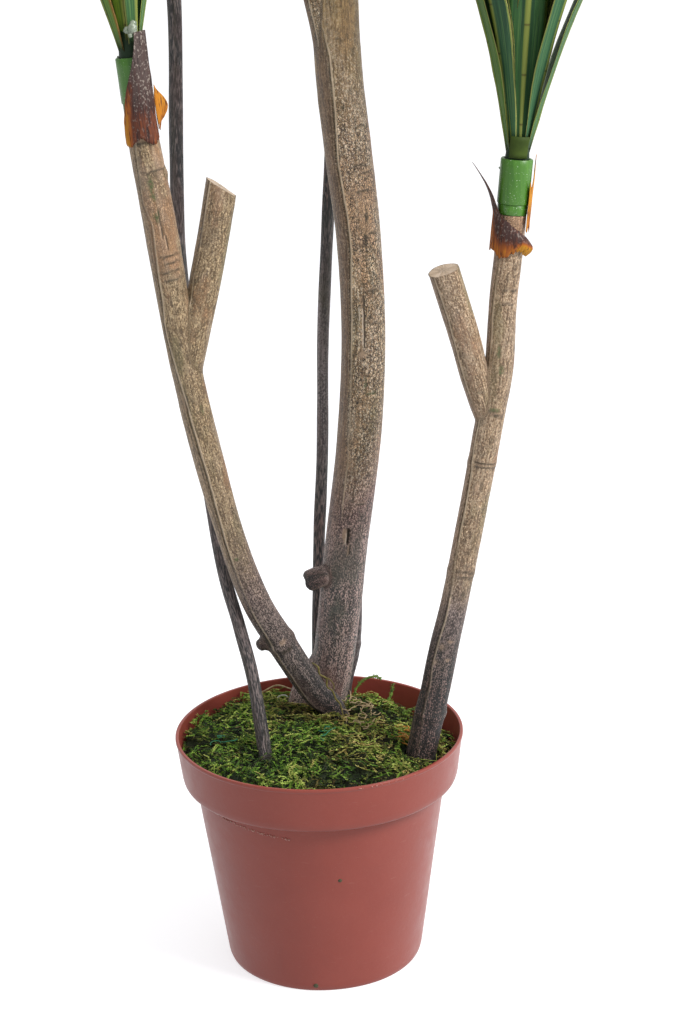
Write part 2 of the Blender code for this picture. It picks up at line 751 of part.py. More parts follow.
def wanted_leaf(name, index, count, length, sleeve_radius, chance):
    """What a leaf would like to be: outermost leaves first, opening wide, and innermost last."""
    share = index / (count - 1)
    azimuth = index * GOLDEN_ANGLE + chance.uniform(-0.10, 0.10)
    leaf = {
        "rise": LOWEST_RISE + LEAF_RISE * share,
        "start": math.radians(START_TILT[0] + (START_TILT[1] - START_TILT[0]) * share),
        "end": math.radians(END_TILT[0] + (END_TILT[1] - END_TILT[0]) * share),
        "length": length * (1.0 - LEAF_SHORTENING * share ** 2) * chance.uniform(0.92, 1.0),
        "sway": chance.uniform(-LEAF_SWAY, LEAF_SWAY),
        "twist": chance.uniform(-LEAF_TWIST, LEAF_TWIST),
    }
    shown = SHOWN_LEAVES.get(name, ())
    first, span, low_share = BACK_SECTOR
    if index < len(shown):
        row = shown[index]
        azimuth = math.radians(row.azimuth)
        leaf.update(rise=row.rise, start=math.radians(row.start), end=math.radians(row.end), sway=row.sway,
                    twist=math.radians(row.twist))
    elif shown and share < low_share:
        azimuth = math.radians(first) + (azimuth % math.tau) * span / 360.0
    core = core_radius(sleeve_radius, leaf["rise"])
    leaf.update(azimuth=azimuth, root=core * ROOT_SHARE, root_radius=core - ROOT_SINK)
    return leaf


def bent_leaf(leaf, attempt, chance):
    """The leaf bent a little more at each attempt."""
    reach = attempt / LEAF_TRIES
    bent = dict(leaf)
    bent["azimuth"] += chance.uniform(-0.9, 0.9) * reach
    bent["sway"] += chance.uniform(-0.8, 0.8) * reach
    bent["end"] += math.radians(chance.uniform(-45.0, 12.0)) * reach
    bent["length"] *= 1.0 - 0.30 * reach * chance.uniform(0.0, 1.0)
    return bent


def lay_out_leaves(rows):
    """Find for each head the leaves that clear every pole, sleeve and leaf of the other heads."""
    chance = random.Random(8)
    guards, sleeves = pole_guards(rows)
    heads = {}
    finished = []
    for name, route, sleeve_radius, count, length, lowest in rows:
        top, axis = head_place(smooth_route(route, POLE_STEP))
        others = guards + finished + [tree for key, tree in sleeves.items() if key != name]
        kept = []
        outer_parts = []
        for index in range(count):
            leaf = wanted_leaf(name, index, count, length, sleeve_radius, chance)
            for attempt in range(LEAF_TRIES):
                trial = bent_leaf(leaf, attempt, chance)
                line = leaf_line(top, axis, trial)
                vertices, faces = blade(line, trial["root"], LEAF_STATIONS, CLEARANCE)
                if min(v.z for v in vertices) < lowest:
                    continue
                tree = tree_of(vertices, faces)
                if any(tree.overlap(other) for other in others):
                    continue
                outer_vertices, outer_faces = blade(line, trial["root"], LEAF_STATIONS[1:], 0.0)
                outer = tree_of(outer_vertices, outer_faces)
                if any(outer.overlap(other) for other in outer_parts):
                    continue
                kept.append((trial, line))
                outer_parts.append(outer)
                break
        heads[name] = kept
        finished += [tree_of(*blade(line, leaf["root"], LEAF_STATIONS, 0.0)) for leaf, line in kept]
    return heads


def build_leaves(name, frame, sleeve_radius, leaves, collection):
    """A head of leaves with their roots sunk into one core, whose peg goes into the pole."""
    foot = -SLEEVE_LENGTH
    peg = peg_radius(sleeve_radius)
    profile = (
        (0.0, CORE_RISE),
        (CORE_TIP_RADIUS, CORE_RISE),
        (core_radius(sleeve_radius, 0.0), 0.0),
        (core_radius(sleeve_radius, 0.0), foot),
        (peg, foot),
        (peg, foot - PEG_LENGTH),
        (0.0, foot - PEG_LENGTH),
    )
    core = turned(f"leaves_{name}", profile, collection, steps=CORE_SIDES)
    apply_modifiers(core)
    core.data.transform(frame)
    blades = []
    for index, (leaf, line) in enumerate(leaves):
        vertices, faces = blade(line, leaf["root"], LEAF_STATIONS, 0.0)
        blades.append(mesh_object(f"blade_{index}", vertices, faces, collection))
    combine(core, blades, "UNION")
    return finish_piece(core, "leaf", 35)


def husk_point(husk, sleeve_radius, u, v):
    """A point of a husk: u runs round the pole from -1 to 1, and v from its foot to its top edge."""
    near = max(0.0, 1.0 - abs(u - husk.place) / husk.width) ** HUSK_POINTED
    across = (u + 1.0) / 2.0
    edge = husk.left + (husk.right - husk.left) * across
    top = edge + (husk.point - edge) * near
    bottom = husk.foot + HUSK_JAG * math.sin(HUSK_TEETH * u + husk.azimuth)
    height = bottom + (top - bottom) * v
    gather = 1.0 - husk.squeeze * near * v * v * (3.0 - 2.0 * v)
    angle = math.radians(husk.azimuth + husk.span * (husk.place + (u - husk.place) * gather))
    radius = sleeve_radius + HUSK_THICKNESS + HUSK_SLACK * (1.0 + u * u)
    free = max(0.0, height)
    radius += husk.lean * free + husk.curl * free ** 2 + husk.flare * across ** 2 * math.sin(math.pi * v)
    return radius * math.cos(angle), radius * math.sin(angle), height


def build_husk(name, frame, sleeve_radius, husk, grid, collection):
    """A dry sheath: a thin curled sheet round the joint, with a jagged foot and one long point."""
    columns, rows = grid
    vertices = []
    for row in range(rows + 1):
        for column in range(columns + 1):
            vertices.append(husk_point(husk, sleeve_radius, 2.0 * column / columns - 1.0, row / rows))
    faces = []
    width = columns + 1
    for row in range(rows):
        for column in range(columns):
            a = row * width + column
            faces.append((a, a + 1, a + 1 + width, a + width))
    obj = mesh_object(name, vertices, faces, collection)
    obj.data.transform(frame)
    solidify = obj.modifiers.new("Thickness", "SOLIDIFY")
    solidify.thickness = HUSK_THICKNESS
    solidify.offset = -1.0
    apply_modifiers(obj)
    return finish_piece(obj, "husk", 60)


def main():
    clear_scene()
    collection = new_collection("potted_yucca")
    build_pot(collection)
    filler = build_filler(collection)
    moss = build_moss(collection)
    kinds = [(row, POLE_STEP, POLE_BEVEL, "pole_wood") for row in POLES]
    kinds += [(row, STEM_STEP, STEM_BEVEL, "stem_wood") for row in STEMS]
    for body in (filler, moss):
        cutters = []
        for row, step, bevel, _ in kinds:
            cutters += hole_cutters(row[0], row[1], step, bevel, collection)
        combine(body, cutters, "DIFFERENCE")
    finish_piece(filler, "cement", 30)
    finish_piece(moss, "moss", 80)
    heads = lay_out_leaves(POLES + STEMS)
    for row, step, bevel, wood in kinds:
        name, route, sleeve_radius = row[:3]
        samples = smooth_route(route, step)
        build_pole(name, route, sleeve_radius, step, bevel, wood, collection)
        frame = head_frame(samples, SEAT_GAP + SLEEVE_LENGTH)
        build_sleeve(name, frame, sleeve_radius, collection)
        build_leaves(name, frame, sleeve_radius, heads[name], collection)
        seat = head_frame(samples, SEAT_GAP)
        grid = HUSK_GRIDS["stem" if row in STEMS else "pole"]
        for letter, husk in zip("ab", HUSKS[name]):
            build_husk(f"husk_{name}_{letter}", seat, sleeve_radius, husk, grid, collection)


main()
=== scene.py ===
"""Looks of the artificial potted yucca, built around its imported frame, in metres, +Z up."""
import math
import random
from collections import namedtuple

import bpy
import numpy as np
from mathutils import Matrix, Vector, noise
from mathutils.bvhtree import BVHTree


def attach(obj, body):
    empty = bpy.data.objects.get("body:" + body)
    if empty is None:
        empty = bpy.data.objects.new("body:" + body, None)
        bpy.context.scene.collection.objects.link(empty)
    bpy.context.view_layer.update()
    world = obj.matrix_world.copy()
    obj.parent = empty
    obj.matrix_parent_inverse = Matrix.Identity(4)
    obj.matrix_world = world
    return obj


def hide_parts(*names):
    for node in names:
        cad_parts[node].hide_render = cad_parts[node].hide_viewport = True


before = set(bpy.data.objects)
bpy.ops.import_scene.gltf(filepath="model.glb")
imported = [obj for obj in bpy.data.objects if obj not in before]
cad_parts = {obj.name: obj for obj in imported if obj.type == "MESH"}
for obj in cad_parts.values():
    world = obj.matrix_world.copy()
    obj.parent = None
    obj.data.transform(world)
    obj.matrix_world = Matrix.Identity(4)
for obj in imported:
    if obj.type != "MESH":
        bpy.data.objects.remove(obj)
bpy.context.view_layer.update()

# Camera, as fitted to the pot's rim, band and base in the 683 x 1024 photograph
PHOTO_HEIGHT = 1024
FOCAL_PIXELS = 2170.0
CAMERA_PLACE = (0.0215, -1.53, 0.849)
CAMERA_DOWN = 17.83
CAMERA_ROLL = -1.52
SENSOR = 36.0

# Pot, filler and moss, as in the part's source
POT_RADIUS = 0.110
POT_HEIGHT = 0.183
POT_WALL = 0.0025
POT_BASE_RADIUS = 0.0755
POT_FLOOR = 0.003
BAND_LOW = 0.149
BAND_RADIUS = 0.1056
BODY_TOP = 0.1445
BODY_RADIUS = 0.0955
POT_STEPS = 160
MOSS_LEVEL = 0.172
MOSS_CROWN = 0.012
MOUND_POWER = 2.2
MOSS_ROUGH = 0.0035
CLUMPS_PER_METRE = (55.0, 120.0)
MOSS_DIP = 0.014
DIP_SIDE = (0.62, 0.78)
DIP_POWER = 3.0
MOSS_LIFT = 0.0050
LIFT_SIDE = (-0.92, 0.39)
LIFT_POWER = 2.0
MOSS_LOWEST = 0.1565

# Poles and stems: points (x, y, z, radius) from the foot in the filler to the cut top
POLE_CENTRE = (
    (0.002, 0.056, 0.040, 0.0130), (0.001, 0.058, 0.120, 0.0145), (0.004, 0.061, 0.180, 0.0182),
    (0.013, 0.057, 0.225, 0.0165), (0.025, 0.053, 0.317, 0.0162), (0.036, 0.047, 0.400, 0.0166),
    (0.041, 0.041, 0.475, 0.0163), (0.040, 0.036, 0.546, 0.0164), (0.033, 0.032, 0.619, 0.0169),
    (0.027, 0.030, 0.690, 0.0170), (0.028, 0.029, 0.780, 0.0160), (0.035, 0.025, 0.880, 0.0140),
    (0.042, 0.021, 0.965, 0.0120), (0.0445, 0.020, 0.990, 0.0112),
)
POLE_LEFT = (
    (0.030, 0.028, 0.055, 0.0095), (0.027, 0.031, 0.120, 0.0095), (0.012, 0.032, 0.182, 0.0101),
    (-0.004, 0.027, 0.204, 0.0108), (-0.028, 0.012, 0.252, 0.0114), (-0.045, 0.001, 0.289, 0.0109),
    (-0.060, -0.008, 0.340, 0.0106), (-0.076, -0.015, 0.412, 0.0109), (-0.088, -0.018, 0.480, 0.0114),
    (-0.099, -0.020, 0.565, 0.0121), (-0.1085, -0.020, 0.634, 0.0112), (-0.1105, -0.020, 0.656, 0.0100),
)
POLE_RIGHT = (
    (0.052, -0.026, 0.055, 0.0095), (0.060, -0.030, 0.115, 0.0100), (0.074, -0.036, 0.163, 0.0105),
    (0.084, -0.035, 0.210, 0.0112), (0.094, -0.034, 0.259, 0.0110), (0.103, -0.033, 0.298, 0.0106),
    (0.118, -0.031, 0.373, 0.0101), (0.129, -0.030, 0.433, 0.0107), (0.136, -0.030, 0.473, 0.0107),
    (0.139, -0.030, 0.520, 0.0099), (0.1435, -0.030, 0.560, 0.0100), (0.1455, -0.030, 0.581, 0.0102),
)
STEM_LEFT = (
    (-0.034, -0.036, 0.060, 0.0050), (-0.037, -0.040, 0.125, 0.0052), (-0.040, -0.035, 0.170, 0.0053),
    (-0.048, -0.013, 0.228, 0.0050), (-0.058, 0.001, 0.269, 0.0049), (-0.071, 0.016, 0.323, 0.0049),
    (-0.085, 0.034, 0.450, 0.0048), (-0.092, 0.042, 0.548, 0.0048), (-0.091, 0.046, 0.621, 0.0050),
    (-0.088, 0.052, 0.726, 0.0053), (-0.094, 0.066, 0.800, 0.0053), (-0.107, 0.086, 0.870, 0.0054),
    (-0.117, 0.098, 0.908, 0.0055), (-0.1215, 0.1035, 0.929, 0.0055),
)
STEM_MIDDLE = (
    (-0.008, 0.0775, 0.100, 0.0050), (-0.005, 0.082, 0.135, 0.0050), (0.000, 0.088, 0.178, 0.0052),
    (0.000, 0.091, 0.215, 0.0050), (0.003, 0.093, 0.300, 0.0047), (0.008, 0.094, 0.378, 0.0047),
    (0.011, 0.095, 0.470, 0.0046), (0.018, 0.097, 0.573, 0.0046), (0.022, 0.104, 0.650, 0.0048),
    (0.021, 0.119, 0.740, 0.0052), (0.0165, 0.1345, 0.808, 0.0055), (0.0150, 0.1395, 0.830, 0.0055),
)
STEM_BACK = (
    (0.023, 0.0745, 0.100, 0.0045), (0.022, 0.079, 0.135, 0.0047), (0.021, 0.086, 0.178, 0.0048),
    (0.029, 0.086, 0.215, 0.0047), (0.032, 0.084, 0.265, 0.0044), (0.034, 0.080, 0.350, 0.0043),
    (0.039, 0.076, 0.469, 0.0043), (0.037, 0.076, 0.600, 0.0044), (0.038, 0.080, 0.720, 0.0048),
    (0.052, 0.094, 0.820, 0.0050), (0.078, 0.118, 0.930, 0.0053), (0.104, 0.138, 1.025, 0.0055),
    (0.1125, 0.1430, 1.057, 0.0055), (0.1160, 0.1450, 1.078, 0.0055),
)
STUB_CENTRE = (
    (0.0260, 0.030, 0.665, 0.0125), (0.0195, 0.029, 0.715, 0.0130), (0.0050, 0.0275, 0.775, 0.0125),
    (-0.011, 0.025, 0.850, 0.0118),
)
STUB_LEFT = (
    (-0.087, -0.018, 0.458, 0.0090), (-0.081, -0.017, 0.494, 0.0108), (-0.0695, -0.013, 0.544, 0.0112),
    (-0.057, -0.009, 0.602, 0.0114),
)
STUB_RIGHT = (
    (0.1265, -0.030, 0.436, 0.0090), (0.1185, -0.033, 0.467, 0.0110), (0.1100, -0.039, 0.500, 0.0111),
    (0.0965, -0.047, 0.546, 0.0109),
)
FLARE_CENTRE = (
    (0.009, 0.059, 0.222, 0.0115), (-0.010, 0.060, 0.187, 0.0125), (-0.020, 0.060, 0.155, 0.0100),
)
RIB_RIGHT = (
    (0.058, -0.025, 0.120, 0.0055), (0.070, -0.029, 0.170, 0.0062), (0.0785, -0.029, 0.213, 0.0056),
    (0.090, -0.031, 0.256, 0.0040),
)
KNOB_CENTRE = (
    (0.015, 0.051, 0.291, 0.0080), (0.002, 0.047, 0.289, 0.0088), (-0.0045, 0.0455, 0.2868, 0.0086),
    (-0.0070, 0.045, 0.2860, 0.0062),
)

# Pole tops, sleeves and leaf heads, as in the part's source
SLEEVE_LENGTH = 0.0385
SLEEVE_WALL = 0.0022
SEAT_GAP = 0.0003
PEG_LENGTH = 0.008
CORE_RISE = 0.060
CORE_TIP_RADIUS = 0.0025
LEAF_RISE = 0.048
LEAF_THICKNESS = 0.0016
LEAF_HALF_WIDTH = 0.0140
LEAF_WIDEST = 0.27
LEAF_NARROWING = 1.8
LEAF_THINNING = 0.4
LEAF_FOLD = 0.30
ROOT_SHARE = 0.68
ROOT_SINK = 0.0012
ROOT_CLEAR = 0.0005
LOWEST_RISE = 0.0025
START_TILT = (15.0, 3.0)
END_TILT = (82.0, 22.0)
TILT_POWER = 1.7
GOLDEN_ANGLE = math.radians(137.5)
LEAF_STEPS = 50
LEAF_STATIONS = (0, 13, 28, 41)
LEAF_TRIES = 90
LEAF_SHORTENING = 0.22
LEAF_SWAY = 0.30
LEAF_TWIST = 0.35
CLEARANCE = 0.0015
GUARD_SIDES = 8
HEAD_GUARD = (
    (-0.0616, 0.019), (0.020, 0.019), (0.060, 0.016),
)
VIEW_FLOOR = 0.775
POLE_STEP = 0.026

# Leaves that stand in view at the photo's top edge: azimuth, start tilt, end tilt and twist in degrees
Shown = namedtuple("Shown", "azimuth rise start end sway twist")
SHOWN_LEAVES = {
    "left": (
        Shown(203, 0.0040, 15, 84, 0.0, 14),
        Shown(262, 0.0110, 3, 62, 0.3, 62),
        Shown(318, 0.0060, 6, 66, 0.0, -6),
    ),
    "right": (
        Shown(274, 0.0063, 3, 46, 0.05, 2),
        Shown(182, 0.0040, 11, 94, 0.0, 6),
        Shown(207, 0.0075, 9, 84, 0.0, 4),
        Shown(334, 0.0070, 10, 74, 0.0, 4),
        Shown(356, 0.0040, 14, 82, 0.0, 12),
    ),
}
# The other low leaves of these heads leave the front clear: first azimuth, span in degrees, share of leaves
BACK_SECTOR = (-15.0, 210.0, 0.55)

# One row for each pole: name, route, sleeve radius, leaves, leaf length, lowest leaf point
POLES = (
    ("left", POLE_LEFT, 0.01125, 26, 0.40, 0.0),
    ("right", POLE_RIGHT, 0.01125, 26, 0.40, 0.0),
    ("centre", POLE_CENTRE, 0.01200, 28, 0.42, VIEW_FLOOR),
)
STEMS = (
    ("stem_middle", STEM_MIDDLE, 0.0085, 22, 0.36, VIEW_FLOOR),
    ("stem_left", STEM_LEFT, 0.0085, 22, 0.37, VIEW_FLOOR),
    ("stem_back", STEM_BACK, 0.0085, 24, 0.38, VIEW_FLOOR),
)
SHOOTS = {
    "centre": (STUB_CENTRE, FLARE_CENTRE, KNOB_CENTRE),
    "left": (STUB_LEFT,),
    "right": (STUB_RIGHT, RIB_RIGHT),
}
CUT_SLOPES = {"left": -0.40, "right": 0.0, "centre": 0.25}
SWELLINGS = {
    "left": ((-0.0400, 0.009, 0.2510, 0.0062), (-0.1160, -0.020, 0.6400, 0.0060),
             (-0.0965, -0.020, 0.6140, 0.0052)),
    "right": ((0.0905, -0.037, 0.2105, 0.0058),),
    "stem_back": ((0.0300, 0.086, 0.2190, 0.0062),),
}

HUSK_FIELDS = "azimuth span foot left right point place width lean curl squeeze flare"
Husk = namedtuple("Husk", HUSK_FIELDS, defaults=(0.5, 0.0))
HUSKS = {
    "left": (
        Husk(272, 62, -0.019, 0.053, 0.054, 0.056, 0.77, 20.0, 0.05, 0.0, 0.80),
        Husk(356, 20, -0.010, 0.010, 0.013, 0.018, 0.10, 2.00, 0.00, 0.0, 0.40, 0.0070),
    ),
    "right": (
        Husk(250, 80, -0.027, 0.010, -0.014, 0.035, -0.75, 0.40, 0.16, 11.0, 0.50, 0.0050),
        Husk(348, 30, -0.0085, 0.026, 0.000, 0.043, 0.20, 0.80, 0.01, 0.0),
    ),
    "centre": (
        Husk(250, 70, -0.024, -0.010, 0.006, 0.040, 0.20, 0.90, 0.08, 0.0),
        Husk(75, 50, -0.020, 0.002, -0.008, 0.030, -0.40, 0.70, 0.12, 3.0),
    ),
    "stem_middle": (
        Husk(200, 65, -0.016, -0.006, 0.002, 0.030, 0.30, 0.90, 0.08, 2.0),
        Husk(20, 50, -0.014, 0.002, -0.004, 0.024, 0.00, 0.80, 0.12, 4.0),
    ),
    "stem_left": (
        Husk(160, 65, -0.018, -0.004, -0.006, 0.034, -0.30, 0.90, 0.08, 2.0),
        Husk(330, 50, -0.013, 0.002, -0.004, 0.022, 0.20, 0.80, 0.12, 4.0),
    ),
    "stem_back": (
        Husk(320, 65, -0.018, -0.006, -0.006, 0.034, 0.00, 0.90, 0.08, 2.0),
        Husk(130, 50, -0.013, 0.002, -0.004, 0.026, 0.30, 0.80, 0.12, 4.0),
    ),
}
HUSK_THICKNESS = 0.0008
HUSK_JAG = 0.0025
HUSK_TEETH = 5.0
HUSK_SLACK = 0.0005
HUSK_POINTED = 1.2

# Bark of each pole. Heights are in metres and angles in degrees from the front (-Y) towards +X.
# seam: (height, angle) of the bark sheet's edge; slits: (low, high, angle, depth, half width);
# cracks: (height, first angle, last angle); rings: (height, swell, half length);
# marks: (kind, height, angle, half height, half width), where the kind is green, scar or chip
Bark = namedtuple("Bark", "dark tan foot seam slits cracks rings marks crackle")
BARKS = {
    "centre": Bark(
        0.270, 0.430, 0.0,
        ((0.333, -26), (0.350, -32), (0.390, -33), (0.430, -36), (0.508, -37),
         (0.546, -28), (0.580, -26), (0.612, -31), (0.655, -24), (0.688, -24), (0.7047, -36),
         (0.7246, -68), (0.990, -75)),
        ((0.474, 0.516, 2, 0.0016, 0.0006), (0.320, 0.3315, -1, 0.0040, 0.0011),
         (0.311, 0.3195, 7, 0.0012, 0.0005)),
        ((0.610, 5, 38), (0.604, 18, 55), (0.591, 2, 45), (0.560, 30, 60), (0.518, 0, 45),
         (0.494, 5, 40), (0.417, 20, 60), (0.352, 10, 40)),
        (),
        (("green", 0.449, 6, 0.0070, 0.0008), ("green", 0.441, 22, 0.0014, 0.0040),
         ("chip", 0.4710, -3, 0.0026, 0.0032),
         ("scar", 0.6520, 2, 0.0030, 0.0010), ("scar", 0.5730, 26, 0.0090, 0.0012),
         ("scar", 0.5560, 17, 0.0120, 0.0010), ("chip", 0.3280, -12, 0.0060, 0.0016)),
        1.0,
    ),
    "left": Bark(
        0.220, 0.395, 0.205,
        ((0.182, -40), (0.252, -35), (0.345, -28), (0.395, -16), (0.425, -20), (0.500, -48),
         (0.580, -26), (0.597, -45), (0.622, -38), (0.656, -30)),
        ((0.571, 0.590, 12, 0.0012, 0.0006), (0.562, 0.572, 22, 0.0012, 0.0007),
         (0.445, 0.458, -20, 0.0008, 0.0012)),
        ((0.6375, -50, 30), (0.6170, -20, 80), (0.558, -15, 60), (0.553, 0, 60), (0.547, -15, 50),
         (0.541, -10, 60)),
        ((0.252, 0.0010, 0.0035),),
        (("green", 0.6060, 4, 0.0085, 0.0022), ("green", 0.5860, 2, 0.0045, 0.0020),
         ("scar", 0.4500, -26, 0.0060, 0.0012), ("green", 0.4440, 30, 0.0040, 0.0012),
         ("green", 0.3290, 0, 0.0014, 0.0014), ("scar", 0.2590, -40, 0.0040, 0.0060),
         ("chip", 0.2555, 18, 0.0016, 0.0030), ("scar", 0.2480, 10, 0.0022, 0.0060),
         ("chip", 0.6390, -20, 0.0010, 0.0080)),
        0.75,
    ),
    "right": Bark(
        0.240, 0.335, 0.250,
        ((0.160, -30), (0.247, -42), (0.295, -33), (0.321, -40), (0.353, -45), (0.385, -48),
         (0.412, -55), (0.440, -60), (0.520, -50), (0.581, -45)),
        ((0.262, 0.266, 6, 0.0005, 0.0022), (0.250, 0.2535, -8, 0.0005, 0.0020),
         (0.382, 0.389, 12, 0.0005, 0.0020)),
        ((0.4395, -30, 60), (0.404, -40, 70), (0.401, -30, 70), (0.3225, -30, 70),
         (0.3185, -20, 60), (0.520, -10, 50), (0.530, 0, 60)),
        ((0.2110, 0.0014, 0.0040), (0.3205, 0.0004, 0.003), (0.4025, 0.0004, 0.003)),
        (("green", 0.4850, -8, 0.0050, 0.0020), ("green", 0.4720, 6, 0.0045, 0.0018),
         ("green", 0.4430, 10, 0.0012, 0.0050), ("scar", 0.4415, -20, 0.0012, 0.0070),
         ("scar", 0.4790, -52, 0.0110, 0.0009), ("chip", 0.3890, 26, 0.0024, 0.0012),
         ("chip", 0.2690, 17, 0.0012, 0.0022), ("chip", 0.2550, 17, 0.0012, 0.0018),
         ("scar", 0.4870, 70, 0.0030, 0.0015)),
        0.7,
    ),
}
# How dark each stem is, as (height, tone)
STEM_DARK = {
    "stem_left": ((0.20, 0.80), (0.60, 0.95)),
    "stem_middle": ((0.20, 1.10), (0.325, 1.25), (0.370, 0.45), (0.420, 0.10), (0.490, 0.15), (0.545, 0.70),
                    (0.575, 1.35)),
    "stem_back": ((0.20, 0.55), (0.60, 0.80)),
}

# Bark colours: dark, middle, light and warm tan, then three browns, three greys and three blacks, and
# the middle colour of the smooth strip beside the seam
Palette = namedtuple("Palette", "tan brown grey black strip")
BLACKS = (
    (0.008, 0.007, 0.007), (0.022, 0.018, 0.017), (0.260, 0.160, 0.140),
)
PALETTES = {
    "centre": Palette(
        ((0.320, 0.200, 0.102), (0.740, 0.520, 0.305), (0.960, 0.800, 0.585), (0.700, 0.425, 0.230)),
        ((0.060, 0.034, 0.031), (0.270, 0.155, 0.137), (0.640, 0.440, 0.370)),
        ((0.055, 0.050, 0.048), (0.200, 0.172, 0.162), (0.700, 0.500, 0.440)),
        BLACKS, (0.228, 0.136, 0.080)),
    "left": Palette(
        ((0.160, 0.103, 0.052), (0.375, 0.256, 0.133), (0.610, 0.452, 0.270), (0.460, 0.250, 0.125)),
        ((0.060, 0.038, 0.033), (0.185, 0.125, 0.105), (0.430, 0.320, 0.270)),
        ((0.020, 0.018, 0.018), (0.066, 0.058, 0.056), (0.320, 0.250, 0.225)),
        BLACKS, (0.440, 0.315, 0.205)),
    "right": Palette(
        ((0.200, 0.126, 0.070), (0.470, 0.310, 0.182), (0.740, 0.550, 0.370), (0.520, 0.300, 0.175)),
        ((0.060, 0.044, 0.040), (0.190, 0.140, 0.124), (0.400, 0.310, 0.280)),
        ((0.014, 0.013, 0.012), (0.038, 0.032, 0.031), (0.270, 0.195, 0.172)),
        BLACKS, (0.500, 0.355, 0.265)),
    "stem": Palette(
        ((0.070, 0.062, 0.064), (0.225, 0.195, 0.196), (0.400, 0.345, 0.340), (0.300, 0.200, 0.200)),
        ((0.026, 0.024, 0.025), (0.100, 0.088, 0.088), (0.250, 0.200, 0.195)),
        ((0.014, 0.013, 0.014), (0.050, 0.045, 0.046), (0.230, 0.180, 0.168)),
        BLACKS, (0.100, 0.090, 0.090)),
}
RIDGE_OFFSET = 0.0017
# The seam's groove, its second groove and its ridge, as (offset, half width)
SEAM_LINES = ((0.0, 0.00065), (-0.0026, 0.0005), (RIDGE_OFFSET, 0.0010))

# Thin slits and torn edges, as (low, high, angle, half width, depth of tone): above 0 a slit darkened with
# painted shade, below 0 a pale torn edge
THIN_LINES = {"centre": (
    (0.474, 0.516, 2.0, 0.00055, 0.95), (0.476, 0.506, -2.0, 0.00040, -0.85),
    (0.495, 0.507, -10.0, 0.00040, -0.75), (0.318, 0.333, -1.0, 0.00090, 1.00),
    (0.318, 0.329, -6.0, 0.00060, -0.60),
)}
# Painted shade inside a slit, then the pale colour of a torn rim
SLIT_SHADE = (0.030, 0.020, 0.012)
SLIT_RIM = (0.780, 0.680, 0.560)
# Painted shade in the grooves along the bark's seam
SEAM_GROOVE_SHADE = (0.060, 0.050, 0.024)
CRACKLE = {"centre": 1.0, "left": 0.50, "right": 0.45}
SMOOTH_FROM = {"centre": 0.600, "left": 9.0, "right": 9.0}

POLE_SIDES = {"centre": 96, "left": 68, "right": 68}
POLE_RING = 0.00135
STEM_SIDES = 26
STEM_RING = 0.0024
SHOOT_SIDES = 64
JOINT_BLEND = 0.0045
JOINT_CORE = 0.35
JOINT_PULL = 0.6
POLE_ROUNDS = 14
STEM_ROUNDS = 8
POLE_SEED = 100
STEM_SEEDS = (700, 50)
SKIN_STEP = 0.003
SKIN_MARGIN = 0.03
SKIN_BATCH = 4000
END_HOLD = 0.0015
END_SLOPE = 0.012
END_ROUGH = 160.0
END_SEED = 77
CUT_INSETS = (0.93, 0.60, 0.28)

# Fine meshes: leaf sections as shares of the half width, and counts
STEM_STEP = 0.045
CORE_SIDES = 24
PEG_RADIUS = 0.0040
STEM_PEG_RADIUS = 0.0021
LEAF_OUTER = (-1.0, -0.72, -0.42, -0.17, -0.10, 0.0, 0.10, 0.17, 0.42, 0.72, 1.0)
LEAF_INNER = (0.72, 0.36, 0.0, -0.36, -0.72)
LEAF_RINGS = 35
LEAF_LAST = 0.985
BLADE_HALF = 0.00045
RIB_RISE = 0.0007
SLEEVE_SIDES = 48
SLEEVE_SKIRT = 0.0075
HUSK_GRID_SHOWN = (56, 26)
HUSK_GRID = (30, 12)
POT_FILL = 0.138
FIT_GAP = 0.0005
HOLE_STEP = 0.010
HOLE_SIDES = 32
MOSS_STEPS = 150
MOSS_RINGS = 46
MOSS_SHOULDER = 0.153
MOSS_EDGE = 0.160
MAT_DROP = 0.0048
MAT_HOLLOW = 0.0036
MAT_HEAP = 0.6
# Painted shade: the mat under the strands is dark, so the gaps between them read as shadow
MAT_SHADE = 0.12

# Strands of moss: how far each piece stands out of the mat, their numbers, and the ends that climb, curl,
# length, thickness and a leaflet's length are drawn between
STRAND_LOFTS = {"moss_strands_low": -0.0042, "moss_strands_high": -0.0018}
STRAND_EDGE = 0.172
STRAND_SEED = 60
STRANDS = 2050
STRAND_POINTS = 6
LEAFLETS = 10
STRAND_CLIMB = (-0.1, 0.9)
STRAND_CURL = (0.08, 0.80)
STRAND_LENGTH = (0.007, 0.017)
STRAND_THICK = (0.00026, 0.00050)
LEAFLET_REACH = (0.0012, 0.0027)
RIM_GAP = 0.0022
CLEAR_STEP = 0.006
CLEAR_HEIGHTS = (0.150, 0.200)
CLEAR_GAP = 0.0004
THREAD_SIDES = 5
THREAD_STEP = 0.0012
FINE_THREAD_STEP = 0.0008
TANGLE_POINTS = 6
TANGLE_STEP = 0.0028

# Studio
FLOOR_REACH = 25.0
FLOOR_COLOUR = (0.60, 0.60, 0.61)
FLOOR_GLOW = 0.64
WORLD_LEVEL = 0.76
WORLD_LEAN = (0.22, 0.12, 0.10)
WORLD_LEAST = 0.05
KEY_WATTS = 52.0
KEY_PLACE = (1.7, -1.0, 1.9)
KEY_TARGET = (0.0, 0.0, 0.4)
KEY_SIZE = 1.0
KEY_COLOUR = (1.0, 0.99, 0.98)
CLIP_END = 60.0

# Moss colours from shade to light, green and dry
MOSS_STOPS = (0.00, 0.25, 0.48, 0.70, 1.00)
MOSS_GREENS = ((0.006, 0.008, 0.003), (0.015, 0.034, 0.006), (0.050, 0.120, 0.012),
               (0.145, 0.295, 0.022), (0.460, 0.560, 0.120))
MOSS_BROWNS = ((0.010, 0.008, 0.004), (0.040, 0.029, 0.010), (0.125, 0.092, 0.024),
               (0.300, 0.225, 0.055), (0.600, 0.470, 0.180))

# Sockets of the colour mixing node
MIX_FACTOR, MIX_UNDER, MIX_OVER, MIX_RESULT = 0, 6, 7, 2

